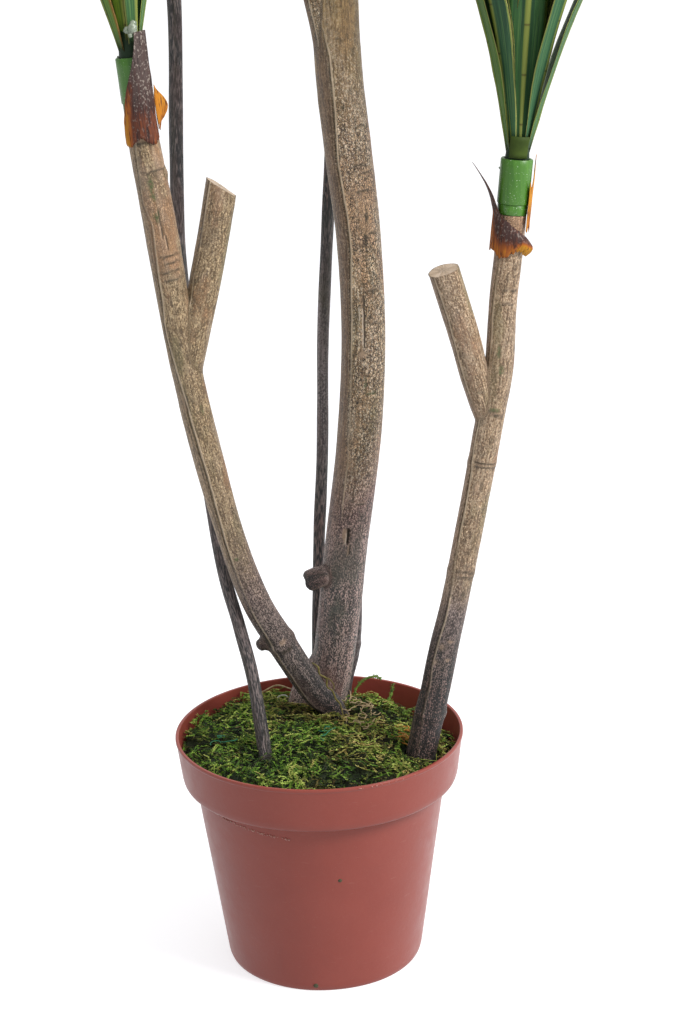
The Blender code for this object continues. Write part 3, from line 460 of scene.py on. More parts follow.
# Tint and redness of the leaves that stand in view, in the order of SHOWN_LEAVES
SHOWN_LOOKS = {
    "left": ((0.90, 0.50), (0.96, 0.0), (0.55, 0.0)),
    "right": ((0.50, 0.12), (0.84, 0.0), (0.30, 0.0), (0.35, 0.0), (0.62, 0.0)),
}

# Warmth of each husk's colour: everywhere, at its low left, at its low right, and at its foot
HUSK_HEAT = {
    "left": ((0.14, 0.46, 0.08, 0.28), (0.84, 0.00, 0.00, -0.10)),
    "right": ((0.33, 0.05, 0.58, 0.36), (0.88, 0.05, 0.05, -0.15)),
    "other": ((0.14, 0.30, 0.45, 0.25), (0.40, 0.20, 0.20, 0.20)),
}

# Loose things on the moss and at the joints, as routes of (x, y, z, radius) and lumps
TWIGS = (
    ((-0.046, 0.079, 0.1820, 0.0006), (-0.034, 0.086, 0.1845, 0.0008), (-0.022, 0.081, 0.1830, 0.0006)),
)
FIBRES = (
    ((-0.004, 0.012, 0.2330, 0.0003), (0.0005, 0.0125, 0.2290, 0.0007), (0.0015, 0.013, 0.2230, 0.0006),
     (0.0065, 0.0135, 0.2190, 0.0008), (0.0070, 0.014, 0.2120, 0.0006), (0.0110, 0.0145, 0.2080, 0.0006),
     (0.0135, 0.015, 0.2010, 0.0008), (0.0165, 0.015, 0.1970, 0.0006), (0.0185, 0.015, 0.1880, 0.0005)),
    ((0.0045, 0.013, 0.2200, 0.0003), (0.0085, 0.0125, 0.2190, 0.0005), (0.0120, 0.013, 0.2140, 0.0004),
     (0.0120, 0.0135, 0.2090, 0.0003)),
)
FRONDS = (
    ((0.0270, 0.075, 0.1755, 0.0009), (0.0295, 0.078, 0.1835, 0.0009), (0.0340, 0.079, 0.1890, 0.0010),
     (0.0390, 0.080, 0.1915, 0.0010), (0.0460, 0.080, 0.1925, 0.0009), (0.0495, 0.080, 0.1895, 0.0006)),
    ((0.0540, 0.072, 0.1720, 0.0010), (0.0575, 0.074, 0.1800, 0.0010), (0.0590, 0.076, 0.1870, 0.0005)),
    ((0.0620, 0.052, 0.1700, 0.0009), (0.0690, 0.050, 0.1745, 0.0009), (0.0760, 0.048, 0.1770, 0.0005)),
)
POT_SPECKS = (((0.0132, -0.0885, 0.0997), 0.0014), ((-0.0073, -0.0762, 0.0055), 0.0017))
FROND_HAIRS = 70
FROND_HAIR = 0.0024
# The loose heap of moss to the right of the centre pole: x, y, reach and height
MOSS_HEAP = (0.038, 0.066, 0.022, 0.0075)
GLUE_LUMPS = (
    ((-0.1112, -0.034, 0.7145), 0.0036, (1.0, 0.7, 1.2)),
    ((-0.1145, -0.033, 0.7135), 0.0028, (1.2, 0.7, 0.9)),
    ((-0.1105, -0.033, 0.7180), 0.0024, (1.0, 0.7, 0.9)),
    ((-0.1128, -0.034, 0.7100), 0.0017, (0.9, 0.7, 1.1)),
    ((-0.1230, -0.021, 0.6942), 0.0009, (1.0, 1.0, 1.6)),
    ((0.1366, -0.034, 0.6140), 0.0006, (1.0, 1.0, 1.4)),
)
GLUE_BEADS = (
    ((-0.1112, -0.0322, 0.6790, 0.0006), (-0.1150, -0.0320, 0.6730, 0.0009),
     (-0.1185, -0.0310, 0.6675, 0.0007)),
)
TAPE_RADIUS = 0.0104
TAPE_SPAN = 37.0
TAPE_FOOT = 0.0012
TAPE_HEIGHT = 0.0150
TAPE_THICKNESS = 0.0002
TAPE_GRID = (20, 5)
# Crumbs under the pot's band sink by a drop between two angles; the drip and the lip's crumbs have their own
CRUMB_START = -148.0
CRUMB_END = -104.0
CRUMB_DROP = 0.0058
CRUMB_SIZE = (0.0004, 0.0008)
BODY_LEAN = 0.14
DRIP_ANGLE = -107.0
DRIP_SIZE = 0.0007
LIP_ANGLES = (-76.0, -50.0)
LIP_SIZE = (0.0003, 0.0006)


class Value:
    """An output of a shader node, which can take part in sums and products."""

    def __init__(self, socket):
        self.socket = socket

    def __add__(self, other):
        return maths("ADD", self, other)

    def __sub__(self, other):
        return maths("SUBTRACT", self, other)

    def __rsub__(self, other):
        return maths("SUBTRACT", other, self)

    def __mul__(self, other):
        return maths("MULTIPLY", self, other)

    def __abs__(self):
        return maths("ABSOLUTE", self)


class Surface:
    """A new material with its node tree."""

    def __init__(self, name):
        self.material = bpy.data.materials.new(name)
        self.material.use_nodes = True
        self.tree = self.material.node_tree

    def place(self):
        return node("ShaderNodeTexCoord", {}, "Object", self.tree)

    def attribute(self, name, output="Fac"):
        return node("ShaderNodeAttribute", {}, output, self.tree, attribute_name=name)

    def finish(self, colour, rough, specular=0.5, relief=None, strength=0.0, distance=0.0):
        """Feed the shader, and give back the material."""
        inputs = {"Base Color": colour, "Roughness": rough, "Specular IOR Level": specular}
        if relief:
            inputs["Normal"] = node("ShaderNodeBump",
                                    {"Height": relief, "Strength": strength, "Distance": distance})
        shader = self.tree.nodes["Principled BSDF"]
        for name, value in inputs.items():
            put(shader.inputs[name], value)
        return self.material


def put(socket, value):
    """Feed a socket with another node's output or with a constant."""
    if isinstance(value, Value):
        socket.id_data.links.new(value.socket, socket)
    elif socket.type == "RGBA":
        socket.default_value = (*value, 1.0)
    else:
        socket.default_value = value


def node(kind, inputs, output=0, tree=None, **settings):
    """An output of a new node, which stands in the tree of what feeds it or in the given tree."""
    for value in inputs.values():
        if isinstance(value, Value):
            tree = value.socket.id_data
    made = tree.nodes.new(kind)
    for name, value in settings.items():
        setattr(made, name, value)
    for name, value in inputs.items():
        put(made.inputs[name], value)
    return Value(made.outputs[output])


def maths(operation, first, second=0.0):
    return node("ShaderNodeMath", {0: first, 1: second}, operation=operation)


def clamp(value):
    """The result of a sum or product, kept between 0 and 1."""
    value.socket.node.use_clamp = True
    return value


def mean(first, second):
    return (first + second) * 0.5


def vector_maths(operation, first, second, output=0):
    return node("ShaderNodeVectorMath", {0: first, 1: second}, output, operation=operation)


def grain(vector, scale, detail=2.0, rough=0.5):
    """Noise with one scale, or with one for each axis."""
    if isinstance(scale, tuple):
        vector, scale = vector_maths("MULTIPLY", vector, scale), 1.0
    return node("ShaderNodeTexNoise",
                {"Vector": vector, "Scale": scale, "Detail": detail, "Roughness": rough})


def axis_of(vector, axis):
    return node("ShaderNodeSeparateXYZ", {0: vector}, axis)


def ramp(factor, *stops):
    """A colour ramp through stops of (place, colour), where a colour may be one grey number."""
    made = node("ShaderNodeValToRGB", {0: factor})
    elements = made.socket.node.color_ramp.elements
    elements.remove(elements[-1])
    for index, (place, colour) in enumerate(stops):
        element = elements[0] if index == 0 else elements.new(place)
        element.position = place
        element.color = (*(colour if isinstance(colour, tuple) else (colour,) * 3), 1.0)
    return made


def layered(colour, *coats):
    """A colour under coats of (factor, colour), one after the other."""
    for factor, coat in coats:
        colour = node("ShaderNodeMix", {MIX_FACTOR: factor, MIX_UNDER: colour, MIX_OVER: coat}, MIX_RESULT,
                      data_type="RGBA")
    return colour


def pot_material():
    """Terracotta-coloured satin plastic with faint mottling, fine grit and small scuffs."""
    surface = Surface("pot_plastic")
    place = surface.place()
    grit = grain(place, 1300.0)
    scuff = grain(place, (60.0, 60.0, 420.0), 3.0, 0.7)
    mottled = ramp(grain(place, 22.0, 4.0, 0.6), (0.25, (0.268, 0.053, 0.038)), (0.75, (0.296, 0.063, 0.046)))
    colour = layered(mottled, (ramp(grit, (0.64, 0.0), (0.80, 0.30)), (0.42, 0.17, 0.13)),
                     (ramp(scuff, (0.66, 0.0), (0.80, 0.28)), (0.45, 0.22, 0.18)))
    rough = ramp(grain(place, 90.0, 3.0), (0.3, 0.30), (0.7, 0.40))
    return surface.finish(colour, rough, 0.32, grit * 0.35 + grain(place, 260.0), 0.18, 0.0005)


def thin_line(pole, height, sway, low, high, degrees, half):
    """A line along the pole at an angle, between two heights: 1 on the line and 0 beside it."""
    turn = math.radians(degrees)
    across, front = (
        vector_maths("DOT_PRODUCT", pole, direction, "Value")
        for direction in ((-math.sin(turn), math.cos(turn), 0.0), (math.cos(turn), math.sin(turn), 0.0)))
    line = ramp(abs(across + sway * 0.0016) * 100.0, (50.0 * half, 1.0), (130.0 * half, 0.0))
    inside = clamp((height - low) * 500.0) * clamp((high - height) * 500.0)
    return line * clamp(front * 200.0) * inside


def crackle_lines(pole, fleck, fresh):
    """Fine dark lines that part the bark into scales, fainter in places and where the bark is fresh."""
    wander = node("ShaderNodeTexNoise", {"Vector": pole, "Scale": 420.0}, "Color")
    cells = vector_maths("ADD", vector_maths("MULTIPLY", pole, (470.0, 470.0, 340.0)),
                         vector_maths("MULTIPLY", wander, (2.2, 2.2, 2.2)))
    net = node("ShaderNodeTexVoronoi", {"Vector": cells, "Scale": 1.0}, "Distance",
               feature="DISTANCE_TO_EDGE")
    worm = grain(pole, (400.0, 400.0, 285.0), 1.5, 0.6)
    lines = maths("MAXIMUM", ramp(abs(worm - 0.5), (0.012, 1.0), (0.037, 0.0)),
                  ramp(net, (0.045, 1.0), (0.140, 0.0)))
    patch = ramp(grain(pole, (60.0, 60.0, 30.0), 3.0), (0.36, 0.70), (0.50, 1.0))
    return lines * patch * ramp(fleck, (0.38, 0.45), (0.48, 1.0)) * (1.0 - fresh * 0.45)


def bark_material(name, palette, crackle, pale, run=85.0, lines=(), smooth_from=9.0):
    """Bark in the unbent coordinates of its pole. Tone runs from 0, tan, over brown and grey to 1.5, black.

    The fibres get longer as run gets smaller. The crackle fades above smooth_from.
    """
    surface = Surface(name)
    pole = surface.attribute("pole", "Vector")
    tone, edge, cavity, stain, bare, cut = (
        surface.attribute(key) for key in ("tone", "edge", "cavity", "green", "strip", "cut"))
    fibre = grain(pole, (780.0, 780.0, run), 3.0, 0.6)
    fleck = grain(pole, (820.0, 820.0, 560.0), 2.5, 0.6)
    mottle = grain(pole, (75.0, 75.0, 24.0), 4.0, 0.6)
    hue = grain(pole, (44.0, 44.0, 16.0), 3.0)
    dots = grain(pole, (1250.0, 1250.0, 8.2 * run), 1.0)
    # Painted sheen: pale grey-white patches at random on the tan bark.
    painted_sheen_patches = grain(pole, (62.0, 62.0, 15.0), 4.0, 0.6)
    streak = grain(pole, (190.0, 190.0, 11.0))
    fresh = clamp((axis_of(pole, 2) - smooth_from) * 12.0)
    net_line = crackle_lines(pole, fleck, fresh)
    strand = mean(fibre, fleck)
    speck = mean(mean(mean(mottle, fibre), fibre), fleck)
    speckle = mean(mean(fibre, dots), dots) + (streak - 0.5) * 0.32
    light = layered(
        ramp(speck, *zip((0.435, 0.490, 0.545), palette.tan)),
        (ramp(hue, (0.52, 0.0), (0.62, 0.75)), palette.tan[3]),
        (ramp(hue, (0.34, 0.4), (0.42, 0.0)), (0.240, 0.215, 0.095)),
        # painted sheen patches
        (ramp(painted_sheen_patches, (0.56, 0.0), (0.68, 0.40)), (0.660, 0.540, 0.420)),
        (net_line * crackle, (0.040, 0.025, 0.013)),
        (fresh * 0.60, ramp(fibre, (0.40, (0.150, 0.090, 0.024)), (0.60, (0.510, 0.315, 0.105)))))
    brown = layered(ramp(mean(strand, dots), *zip((0.44, 0.50, 0.56), palette.brown)),
                    (net_line * (0.60 * crackle), (0.030, 0.024, 0.022)))
    green, red = (tuple(part * share for part, share in zip(palette.grey[1], shares))
                  for shares in ((0.50, 0.66, 0.56), (1.25, 0.72, 0.62)))
    grey = layered(ramp(speckle, *zip((0.44, 0.515, 0.575), palette.grey)),
                   (ramp(hue, (0.38, 0.75), (0.47, 0.0)), green), (ramp(hue, (0.52, 0.0), (0.60, 0.60)), red))
    black = ramp(speckle, *zip((0.45, 0.53, 0.60), palette.black))
    smooth = ramp(strand, *((place, tuple(share * part for part in palette.strip))
                            for place, share in ((0.43, 0.50), (0.51, 1.0), (0.59, 1.55))))
    level = (tone + (mottle - 0.5) * 0.45) * 2.0
    seam = surface.attribute("seam", "Vector")
    aside, front, fade = (axis_of(seam, axis) for axis in range(3))
    facing = clamp(front * 6.0) * fade
    groove, second, ridge = (
        facing * ramp(abs(aside - offset) * 100.0, (50.0 * half, 1.0), (100.0 * half, 0.0))
        for offset, half in ((0.0, 0.0009), (-0.0026, 0.0006), (RIDGE_OFFSET, 0.0009)))
    height = axis_of(surface.place(), 2)
    sway = grain(pole, (0.0, 0.0, 90.0), 3.0) - 0.5
    # Slits carry painted shade; torn edges keep their pale colour.
    slits = ((thin_line(pole, height, sway, *row[:4]) * abs(row[4]), SLIT_SHADE if row[4] > 0.0 else SLIT_RIM)
             for row in lines)
    wood = ramp(grain(pole, (420.0, 420.0, 420.0), 3.0), (0.3, (0.50, 0.36, 0.24)), (0.7, (0.68, 0.53, 0.40)))
    colour = layered(
        light, (clamp(level + 0.0), brown), (clamp(level - 1.0), grey), (clamp(level - 2.0), black),
        # Painted shade: the hollows of cracks, slits, rings and fibres go near black; the same mask holds the
        # real dark of scars.
        (clamp(bare - tone * 1.2) * 0.8, smooth), (cavity * 0.92, (0.036, 0.029, 0.017)),
        # Painted shade in the seam's two grooves.
        (groove * 0.55, SEAM_GROOVE_SHADE), (second * 0.35, SEAM_GROOVE_SHADE),
        (ridge * clamp(0.78 - tone * 0.46), (0.790, 0.620, 0.430)), *slits,
        # Pale edges: the real colour of chips and torn rims, and painted highlight on raised lips, ring
        # crowns, rib tops and bumps.
        (edge * clamp(0.80 - tone * 0.35), pale),
        (stain * ramp(fleck, (0.40, 0.2), (0.56, 0.9)), (0.085, 0.115, 0.035)), (cut, wood))
    relief = fibre + fleck - net_line * 0.6 + (ridge - groove)
    return surface.finish(colour, ramp(fibre, (0.35, 0.42), (0.65, 0.62)), 0.50, relief, 0.8, 0.0012)


def leaf_material():
    """Moulded leaf: fine stripes along it, an olive midrib with nodes, thin pink and yellow margins, and
    painted shade at its root and on the core.
    """
    surface = Surface("leaf_plastic")
    across, along, tint, warm = (surface.attribute(key) for key in ("across", "along", "tint", "warm"))
    side = abs(across)
    stripe, fine = (
        grain(node("ShaderNodeCombineXYZ", {0: across * wide, 1: along * far, 2: tint * own}), 1.0, 2.0, 0.6)
        for wide, far, own in ((9.0, 5.0, 40.0), (30.0, 7.0, 90.0)))
    base = ramp(tint, (0.0, (0.026, 0.092, 0.046)), (0.35, (0.048, 0.132, 0.062)),
                (0.62, (0.052, 0.140, 0.036)), (0.86, (0.095, 0.195, 0.026)), (1.0, (0.240, 0.370, 0.035)))
    knot = ramp(maths("FRACT", along * 11.0 + tint * 7.0), (0.0, 0.0), (0.035, 1.0), (0.07, 0.0))
    rib_colour = layered((0.250, 0.285, 0.062), (knot, (0.110, 0.085, 0.025)))
    red = clamp((side - (1.0 - warm * 0.62)) * 6.0)
    colour = layered(
        base, (ramp(stripe, (0.38, 0.55), (0.50, 0.0)), (0.018, 0.050, 0.034)),
        (ramp(stripe, (0.56, 0.0), (0.64, 0.6)), (0.115, 0.215, 0.075)),
        (ramp(fine, (0.60, 0.0), (0.68, 0.5)), (0.20, 0.32, 0.12)),
        (ramp(side, (0.10, 1.0), (0.17, 0.0)) * 0.9, rib_colour),
        (ramp(side, (0.15, 0.0), (0.20, 0.55), (0.30, 0.0)), (0.016, 0.040, 0.028)),
        (ramp(side, (0.86, 0.0), (0.93, 1.0)) * 0.92, (0.40, 0.48, 0.12)),
        (ramp(side, (0.970, 0.0), (0.990, 1.0)) * 0.7, (0.36, 0.17, 0.11)),
        (clamp(red * warm), (0.42, 0.060, 0.030)),
        # Painted shade: near black at each leaf's root, and on the core, whose along is 0.
        (ramp(along, (0.0, 0.88), (0.04, 0.0)), (0.012, 0.022, 0.010)))
    return surface.finish(colour, 0.52, 0.16, stripe + fine * 0.6, 0.35, 0.0006)


def sleeve_material():
    """Green moulded plastic with faint vertical drag marks and dust."""
    surface = Surface("sleeve_plastic")
    place = surface.place()
    drag = grain(place, (420.0, 420.0, 30.0), 3.0)
    colour = layered(ramp(drag, (0.30, (0.038, 0.148, 0.009)), (0.70, (0.075, 0.218, 0.020))),
                     (ramp(grain(place, 1250.0), (0.675, 0.0), (0.72, 0.9)), (0.55, 0.70, 0.48)))
    return surface.finish(colour, ramp(drag, (0.3, 0.30), (0.7, 0.44)), 0.5, drag, 0.15, 0.0004)


def husk_material():
    """Dry leaf sheath: fibres from near black to red-brown and orange, with pale flecks."""
    surface = Surface("husk_sheath")
    place = surface.attribute("sheath", "Vector")
    heat = surface.attribute("warmth")
    fibre = grain(place, (900.0, 900.0, 75.0), 3.0, 0.6)
    fleck = grain(place, (780.0, 780.0, 540.0), 1.0)
    warmed = ramp(heat + (fibre - 0.5) * 0.5, (0.00, (0.095, 0.074, 0.070)), (0.16, (0.090, 0.060, 0.054)),
                  (0.34, (0.056, 0.022, 0.018)), (0.50, (0.165, 0.044, 0.016)), (0.68, (0.360, 0.098, 0.014)),
                  (0.84, (0.510, 0.190, 0.010)), (1.0, (0.600, 0.265, 0.014)))
    spots = ramp(mean(mean(fibre, fleck), fleck), (0.565, 0.0), (0.615, 0.80))
    colour = layered(warmed, (ramp(fibre, (0.36, 0.8), (0.47, 0.0)), (0.020, 0.010, 0.008)),
                     (spots * clamp(1.0 - heat * 1.9), (0.42, 0.36, 0.31)))
    return surface.finish(colour, 0.62, 0.25, fibre, 0.6, 0.0006)


def moss_material(name):
    """Moss tinted frond by frond: shade runs from dark to bright, and dry from green to brown. Shade is
    partly a random tint and partly painted shade: dark on the mat, in hollows and at strand feet, light on
    tufts and at tips.
    """
    surface = Surface(name)
    level = surface.attribute("shade") + (grain(surface.place(), 900.0) - 0.5) * 0.5
    green, brown = (ramp(level, *zip(MOSS_STOPS, colours)) for colours in (MOSS_GREENS, MOSS_BROWNS))
    return surface.finish(layered(green, (surface.attribute("dry"), brown)), 0.60, 0.30)


def plain_material(name, dark, light, scale, rough, relief, specular=0.5):
    """A two-tone noise finish for the small things and the filler."""
    surface = Surface(name)
    tone = grain(surface.place(), scale, 3.0)
    return surface.finish(ramp(tone, (0.3, dark), (0.7, light)), rough, specular,
                          tone if relief else None, 0.5, relief)


def lattice(cell, seed):
    """A repeatable random number between -1 and 1 for each whole-numbered cell."""
    mix = cell[..., 0] * 374761393 + cell[..., 1] * 668265263 + cell[..., 2] * 1103515245
    mix = mix + seed * 1274126177
    mix = (mix ^ (mix >> 13)) * 1274126177
    mix = mix ^ (mix >> 16)
    return (mix & 0xFFFF) / 32767.5 - 1.0


def soft_noise(points, seed):
    """Smooth noise between -1 and 1 at an array of points."""
    cell = np.floor(points).astype(np.int64)
    part = points - cell
    part = part * part * (3.0 - 2.0 * part)
    total = np.zeros(points.shape[:-1])
    for corner in np.ndindex(2, 2, 2):
        weight = np.ones(points.shape[:-1])
        for axis in range(3):
            weight = weight * (part[..., axis] if corner[axis] else 1.0 - part[..., axis])
        total += weight * lattice(cell + np.array(corner), seed)
    return total


def ease(value, low, high):
    """0 below low, 1 above high, and smooth between."""
    share = np.clip((value - low) / (high - low), 0.0, 1.0)
    return share * share * (3.0 - 2.0 * share)


def peak(value, half):
    """1 where the value is 0, and falling off on both sides."""
    return np.exp(-(value / half) ** 2)


def unit(vectors):
    return vectors / np.maximum(np.linalg.norm(vectors, axis=-1), 1e-9)[..., None]


def mesh_piece(name, vertices, faces, material, attributes=None, smooth=True):
    """A mesh object with point attributes, which is linked to the scene."""
    mesh = bpy.data.meshes.new(name)
    mesh.from_pydata(np.asarray(vertices, float).tolist(), [], faces)
    for key, values in (attributes or {}).items():
        values = np.asarray(values, np.float32)
        kind = "FLOAT_VECTOR" if values.ndim == 2 else "FLOAT"
        layer = mesh.attributes.new(key, kind, "POINT")
        layer.data.foreach_set("vector" if values.ndim == 2 else "value", values.ravel())
    mesh.materials.append(material)
    if smooth:
        mesh.shade_smooth()
    mesh.update()
    piece = bpy.data.objects.new(name, mesh)
    bpy.context.scene.collection.objects.link(piece)
    return piece


def keep(piece, node):
    """The piece rides on the part and stands for a CAD node."""
    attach(piece, "root")
    if node:
        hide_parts(node)
    return piece


def tube_faces(rings, sides, ends=True, wrapped=False):
    """Quads between rings. Two fans close the ends, or the last ring meets the first."""
    faces = []
    for ring in range(rings if wrapped else rings - 1):
        low = ring * sides
        high = (ring + 1) % rings * sides
        for side in range(sides):
            after = (side + 1) % sides
            faces.append((low + side, low + after, high + after, high + side))
    if ends:
        foot = rings * sides
        last = foot - sides
        for side in range(sides):
            after = (side + 1) % sides
            faces += [(foot, after, side), (foot + 1, last + side, last + after)]
    return faces


def revolved(profile, sides, warp=None):
    """Rings of points round Z, one for each (radius, height) of a profile."""
    rows = []
    for radius, height in profile:
        for side in range(sides):
            angle = math.tau * side / sides
            reach = radius + (warp(angle, height) if warp else 0.0)
            rows.append((reach * math.cos(angle), reach * math.sin(angle), height))
    return rows


def placed(place, rows):
    return [(place @ Vector(row))[:] for row in rows]


def ball(rings, sides):
    """Points of a unit sphere in rings, with its two poles at the end."""
    polar = [math.pi * (ring + 0.5) / rings for ring in range(rings)]
    rows = revolved([(math.sin(turn), -math.cos(turn)) for turn in polar], sides)
    return np.array(rows + [(0.0, 0.0, -1.0), (0.0, 0.0, 1.0)])


def smooth_route(route, step):
    """Points and radii along a smooth curve through a route, about one step apart."""
    points = [Vector(row[:3]) for row in route]
    radii = [row[3] for row in route]
    points = [2 * points[0] - points[1]] + points + [2 * points[-1] - points[-2]]
    radii = [radii[0]] + radii + [radii[-1]]
    samples = []
    for i in range(1, len(points) - 2):
        pieces = max(1, round((points[i + 1] - points[i]).length / step))
        for piece in range(pieces):
            t = piece / pieces
            weights = (
                -0.5 * t + t * t - 0.5 * t ** 3,
                1.0 - 2.5 * t * t + 1.5 * t ** 3,
                0.5 * t + 2.0 * t * t - 1.5 * t ** 3,
                -0.5 * t * t + 0.5 * t ** 3,
            )
            point = Vector((0.0, 0.0, 0.0))
            for weight, near in zip(weights, points[i - 1:i + 3]):
                point += near * weight
            samples.append((point, radii[i] * (1.0 - t) + radii[i + 1] * t))
    samples.append((points[-2], radii[-2]))
    return samples


def head_frame(samples, seat):
    """Matrix whose Z is the pole top's direction and whose origin is seat above the cut top."""
    top = samples[-1][0]
    axis = (top - samples[-2][0]).normalized()
    side = Vector((0.0, 1.0, 0.0)).cross(axis).normalized()
    depth = axis.cross(side)
    turn = Matrix((side, depth, axis)).transposed().to_4x4()
    return Matrix.Translation(top + axis * seat) @ turn


def head_place(samples):
    """Centre of the sleeve's top, and the sleeve's axis."""
    place = head_frame(samples, SEAT_GAP + SLEEVE_LENGTH)
    return place.to_translation(), place.to_3x3() @ Vector((0.0, 0.0, 1.0))


def core_radius(sleeve_radius, rise):
    """Radius of the leaf head's core at a height above the sleeve's top."""
    full = sleeve_radius - SLEEVE_WALL - ROOT_CLEAR
    share = min(max(rise / CORE_RISE, 0.0), 1.0)
    return full + (CORE_TIP_RADIUS - full) * share


def leaf_half_width(fraction, root):
    """Half width of a leaf along its length, from its root to its tip."""
    if fraction < LEAF_WIDEST:
        share = fraction / LEAF_WIDEST
        return root + (LEAF_HALF_WIDTH - root) * math.sin(share * math.pi / 2.0)
    share = (fraction - LEAF_WIDEST) / (1.0 - LEAF_WIDEST)
    return LEAF_HALF_WIDTH * (1.0 - share ** LEAF_NARROWING)


def leaf_line(base, axis, leaf):
    """Points, sides and normals along a leaf that leaves the core and arches outwards."""
    up = (axis + Vector((0.0, 0.0, 1.0))).normalized()
    across = Vector((1.0, 0.0, 0.0))
    across = (across - up * across.dot(up)).normalized()
    deep = up.cross(across)
    point = base + axis * leaf["rise"]
    first = across * math.cos(leaf["azimuth"]) + deep * math.sin(leaf["azimuth"])
    point = point + first * leaf["root_radius"]
    line = []
    for step in range(LEAF_STEPS + 1):
        fraction = step / LEAF_STEPS
        tilt = leaf["start"] + (leaf["end"] - leaf["start"]) * fraction ** TILT_POWER
        azimuth = leaf["azimuth"] + leaf["sway"] * fraction ** 2
        outward = across * math.cos(azimuth) + deep * math.sin(azimuth)
        tangent = up * math.cos(tilt) + outward * math.sin(tilt)
        side = up.cross(outward)
        normal = tangent.cross(side)
        turn = leaf["twist"] * fraction
        turned_side = side * math.cos(turn) + normal * math.sin(turn)
        turned_normal = normal * math.cos(turn) - side * math.sin(turn)
        line.append((point.copy(), turned_side, turned_normal, fraction))
        point = point + tangent * (leaf["length"] / LEAF_STEPS)
    return line


def blade(line, root, stations, extra):
    """The plain blade of the part's source, which the layout of the leaves is tested with."""
    vertices = []
    for station in stations:
        point, side, normal, fraction = line[station]
        half = leaf_half_width(fraction, root) + extra
        thick = LEAF_THICKNESS / 2.0 * (1.0 - LEAF_THINNING * fraction) + extra
        lift = normal * (LEAF_FOLD * half)
        vertices += [point - side * half + lift, point + normal * thick,
                     point + side * half + lift, point - normal * thick]
    vertices.append(line[-1][0])
    tip = len(vertices) - 1
    faces = [(0, 3, 2), (0, 2, 1)]
    for ring in range(len(stations) - 1):
        for corner in range(4):
            after = (corner + 1) % 4
            a, b = ring * 4 + corner, ring * 4 + after
            if corner in (0, 2):
                faces += [(a, b, b + 4), (a, b + 4, a + 4)]
            else:
                faces += [(a, b, a + 4), (b, b + 4, a + 4)]
    last = (len(stations) - 1) * 4
    faces += [(last + corner, last + (corner + 1) % 4, tip) for corner in range(4)]
    return vertices, faces


def tree_of(vertices, faces):
    return BVHTree.FromPolygons([tuple(v) for v in vertices], faces)


def guard_tree(samples, extra):
    """A rough tube round a pole that leaves have to stay out of."""
    vertices = []
    for point, radius in samples:
        for side in range(GUARD_SIDES):
            angle = math.tau * side / GUARD_SIDES
            offset = Vector((math.cos(angle), math.sin(angle), 0.0)) * (radius + extra)
            vertices.append(point + offset)
    return tree_of(vertices, tube_faces(len(samples), GUARD_SIDES, ends=False))


def pole_guards(rows):
    """Guards of all poles and stubs, and of each head's sleeve and core."""
    guards = []
    sleeves = {}
    for name, route, *_ in rows:
        samples = smooth_route(route, POLE_STEP)
        guards.append(guard_tree(samples, CLEARANCE))
        for shoot in SHOOTS.get(name, ()):
            guards.append(guard_tree(smooth_route(shoot, POLE_STEP), CLEARANCE))
        top, axis = head_place(samples)
        sleeves[name] = guard_tree([(top + axis * rise, radius) for rise, radius in HEAD_GUARD], 0.0)
    return guards, sleeves


def wanted_leaf(name, index, count, length, sleeve_radius, chance):
    """What a leaf would like to be: outermost leaves first, opening wide, and innermost last."""
    share = index / (count - 1)
    azimuth = index * GOLDEN_ANGLE + chance.uniform(-0.10, 0.10)
    leaf = {
        "rise": LOWEST_RISE + LEAF_RISE * share,
        "start": math.radians(START_TILT[0] + (START_TILT[1] - START_TILT[0]) * share),
        "end": math.radians(END_TILT[0] + (END_TILT[1] - END_TILT[0]) * share),
        "length": length * (1.0 - LEAF_SHORTENING * share ** 2) * chance.uniform(0.92, 1.0),
        "sway": chance.uniform(-LEAF_SWAY, LEAF_SWAY),
        "twist": chance.uniform(-LEAF_TWIST, LEAF_TWIST),
    }
    shown = SHOWN_LEAVES.get(name, ())
    first, span, low_share = BACK_SECTOR
    if index < len(shown):
        row = shown[index]
        azimuth = math.radians(row.azimuth)
        leaf.update(rise=row.rise, start=math.radians(row.start), end=math.radians(row.end), sway=row.sway,
                    twist=math.radians(row.twist))
    elif shown and share < low_share:
        azimuth = math.radians(first) + (azimuth % math.tau) * span / 360.0
    core = core_radius(sleeve_radius, leaf["rise"])
    leaf.update(azimuth=azimuth, root=core * ROOT_SHARE, root_radius=core - ROOT_SINK)
    return leaf


def bent_leaf(leaf, attempt, chance):
    """The leaf bent a little more at each attempt."""
    reach = attempt / LEAF_TRIES
    bent = dict(leaf)
    bent["azimuth"] += chance.uniform(-0.9, 0.9) * reach
    bent["sway"] += chance.uniform(-0.8, 0.8) * reach
    bent["end"] += math.radians(chance.uniform(-45.0, 12.0)) * reach
    bent["length"] *= 1.0 - 0.30 * reach * chance.uniform(0.0, 1.0)
    return bent


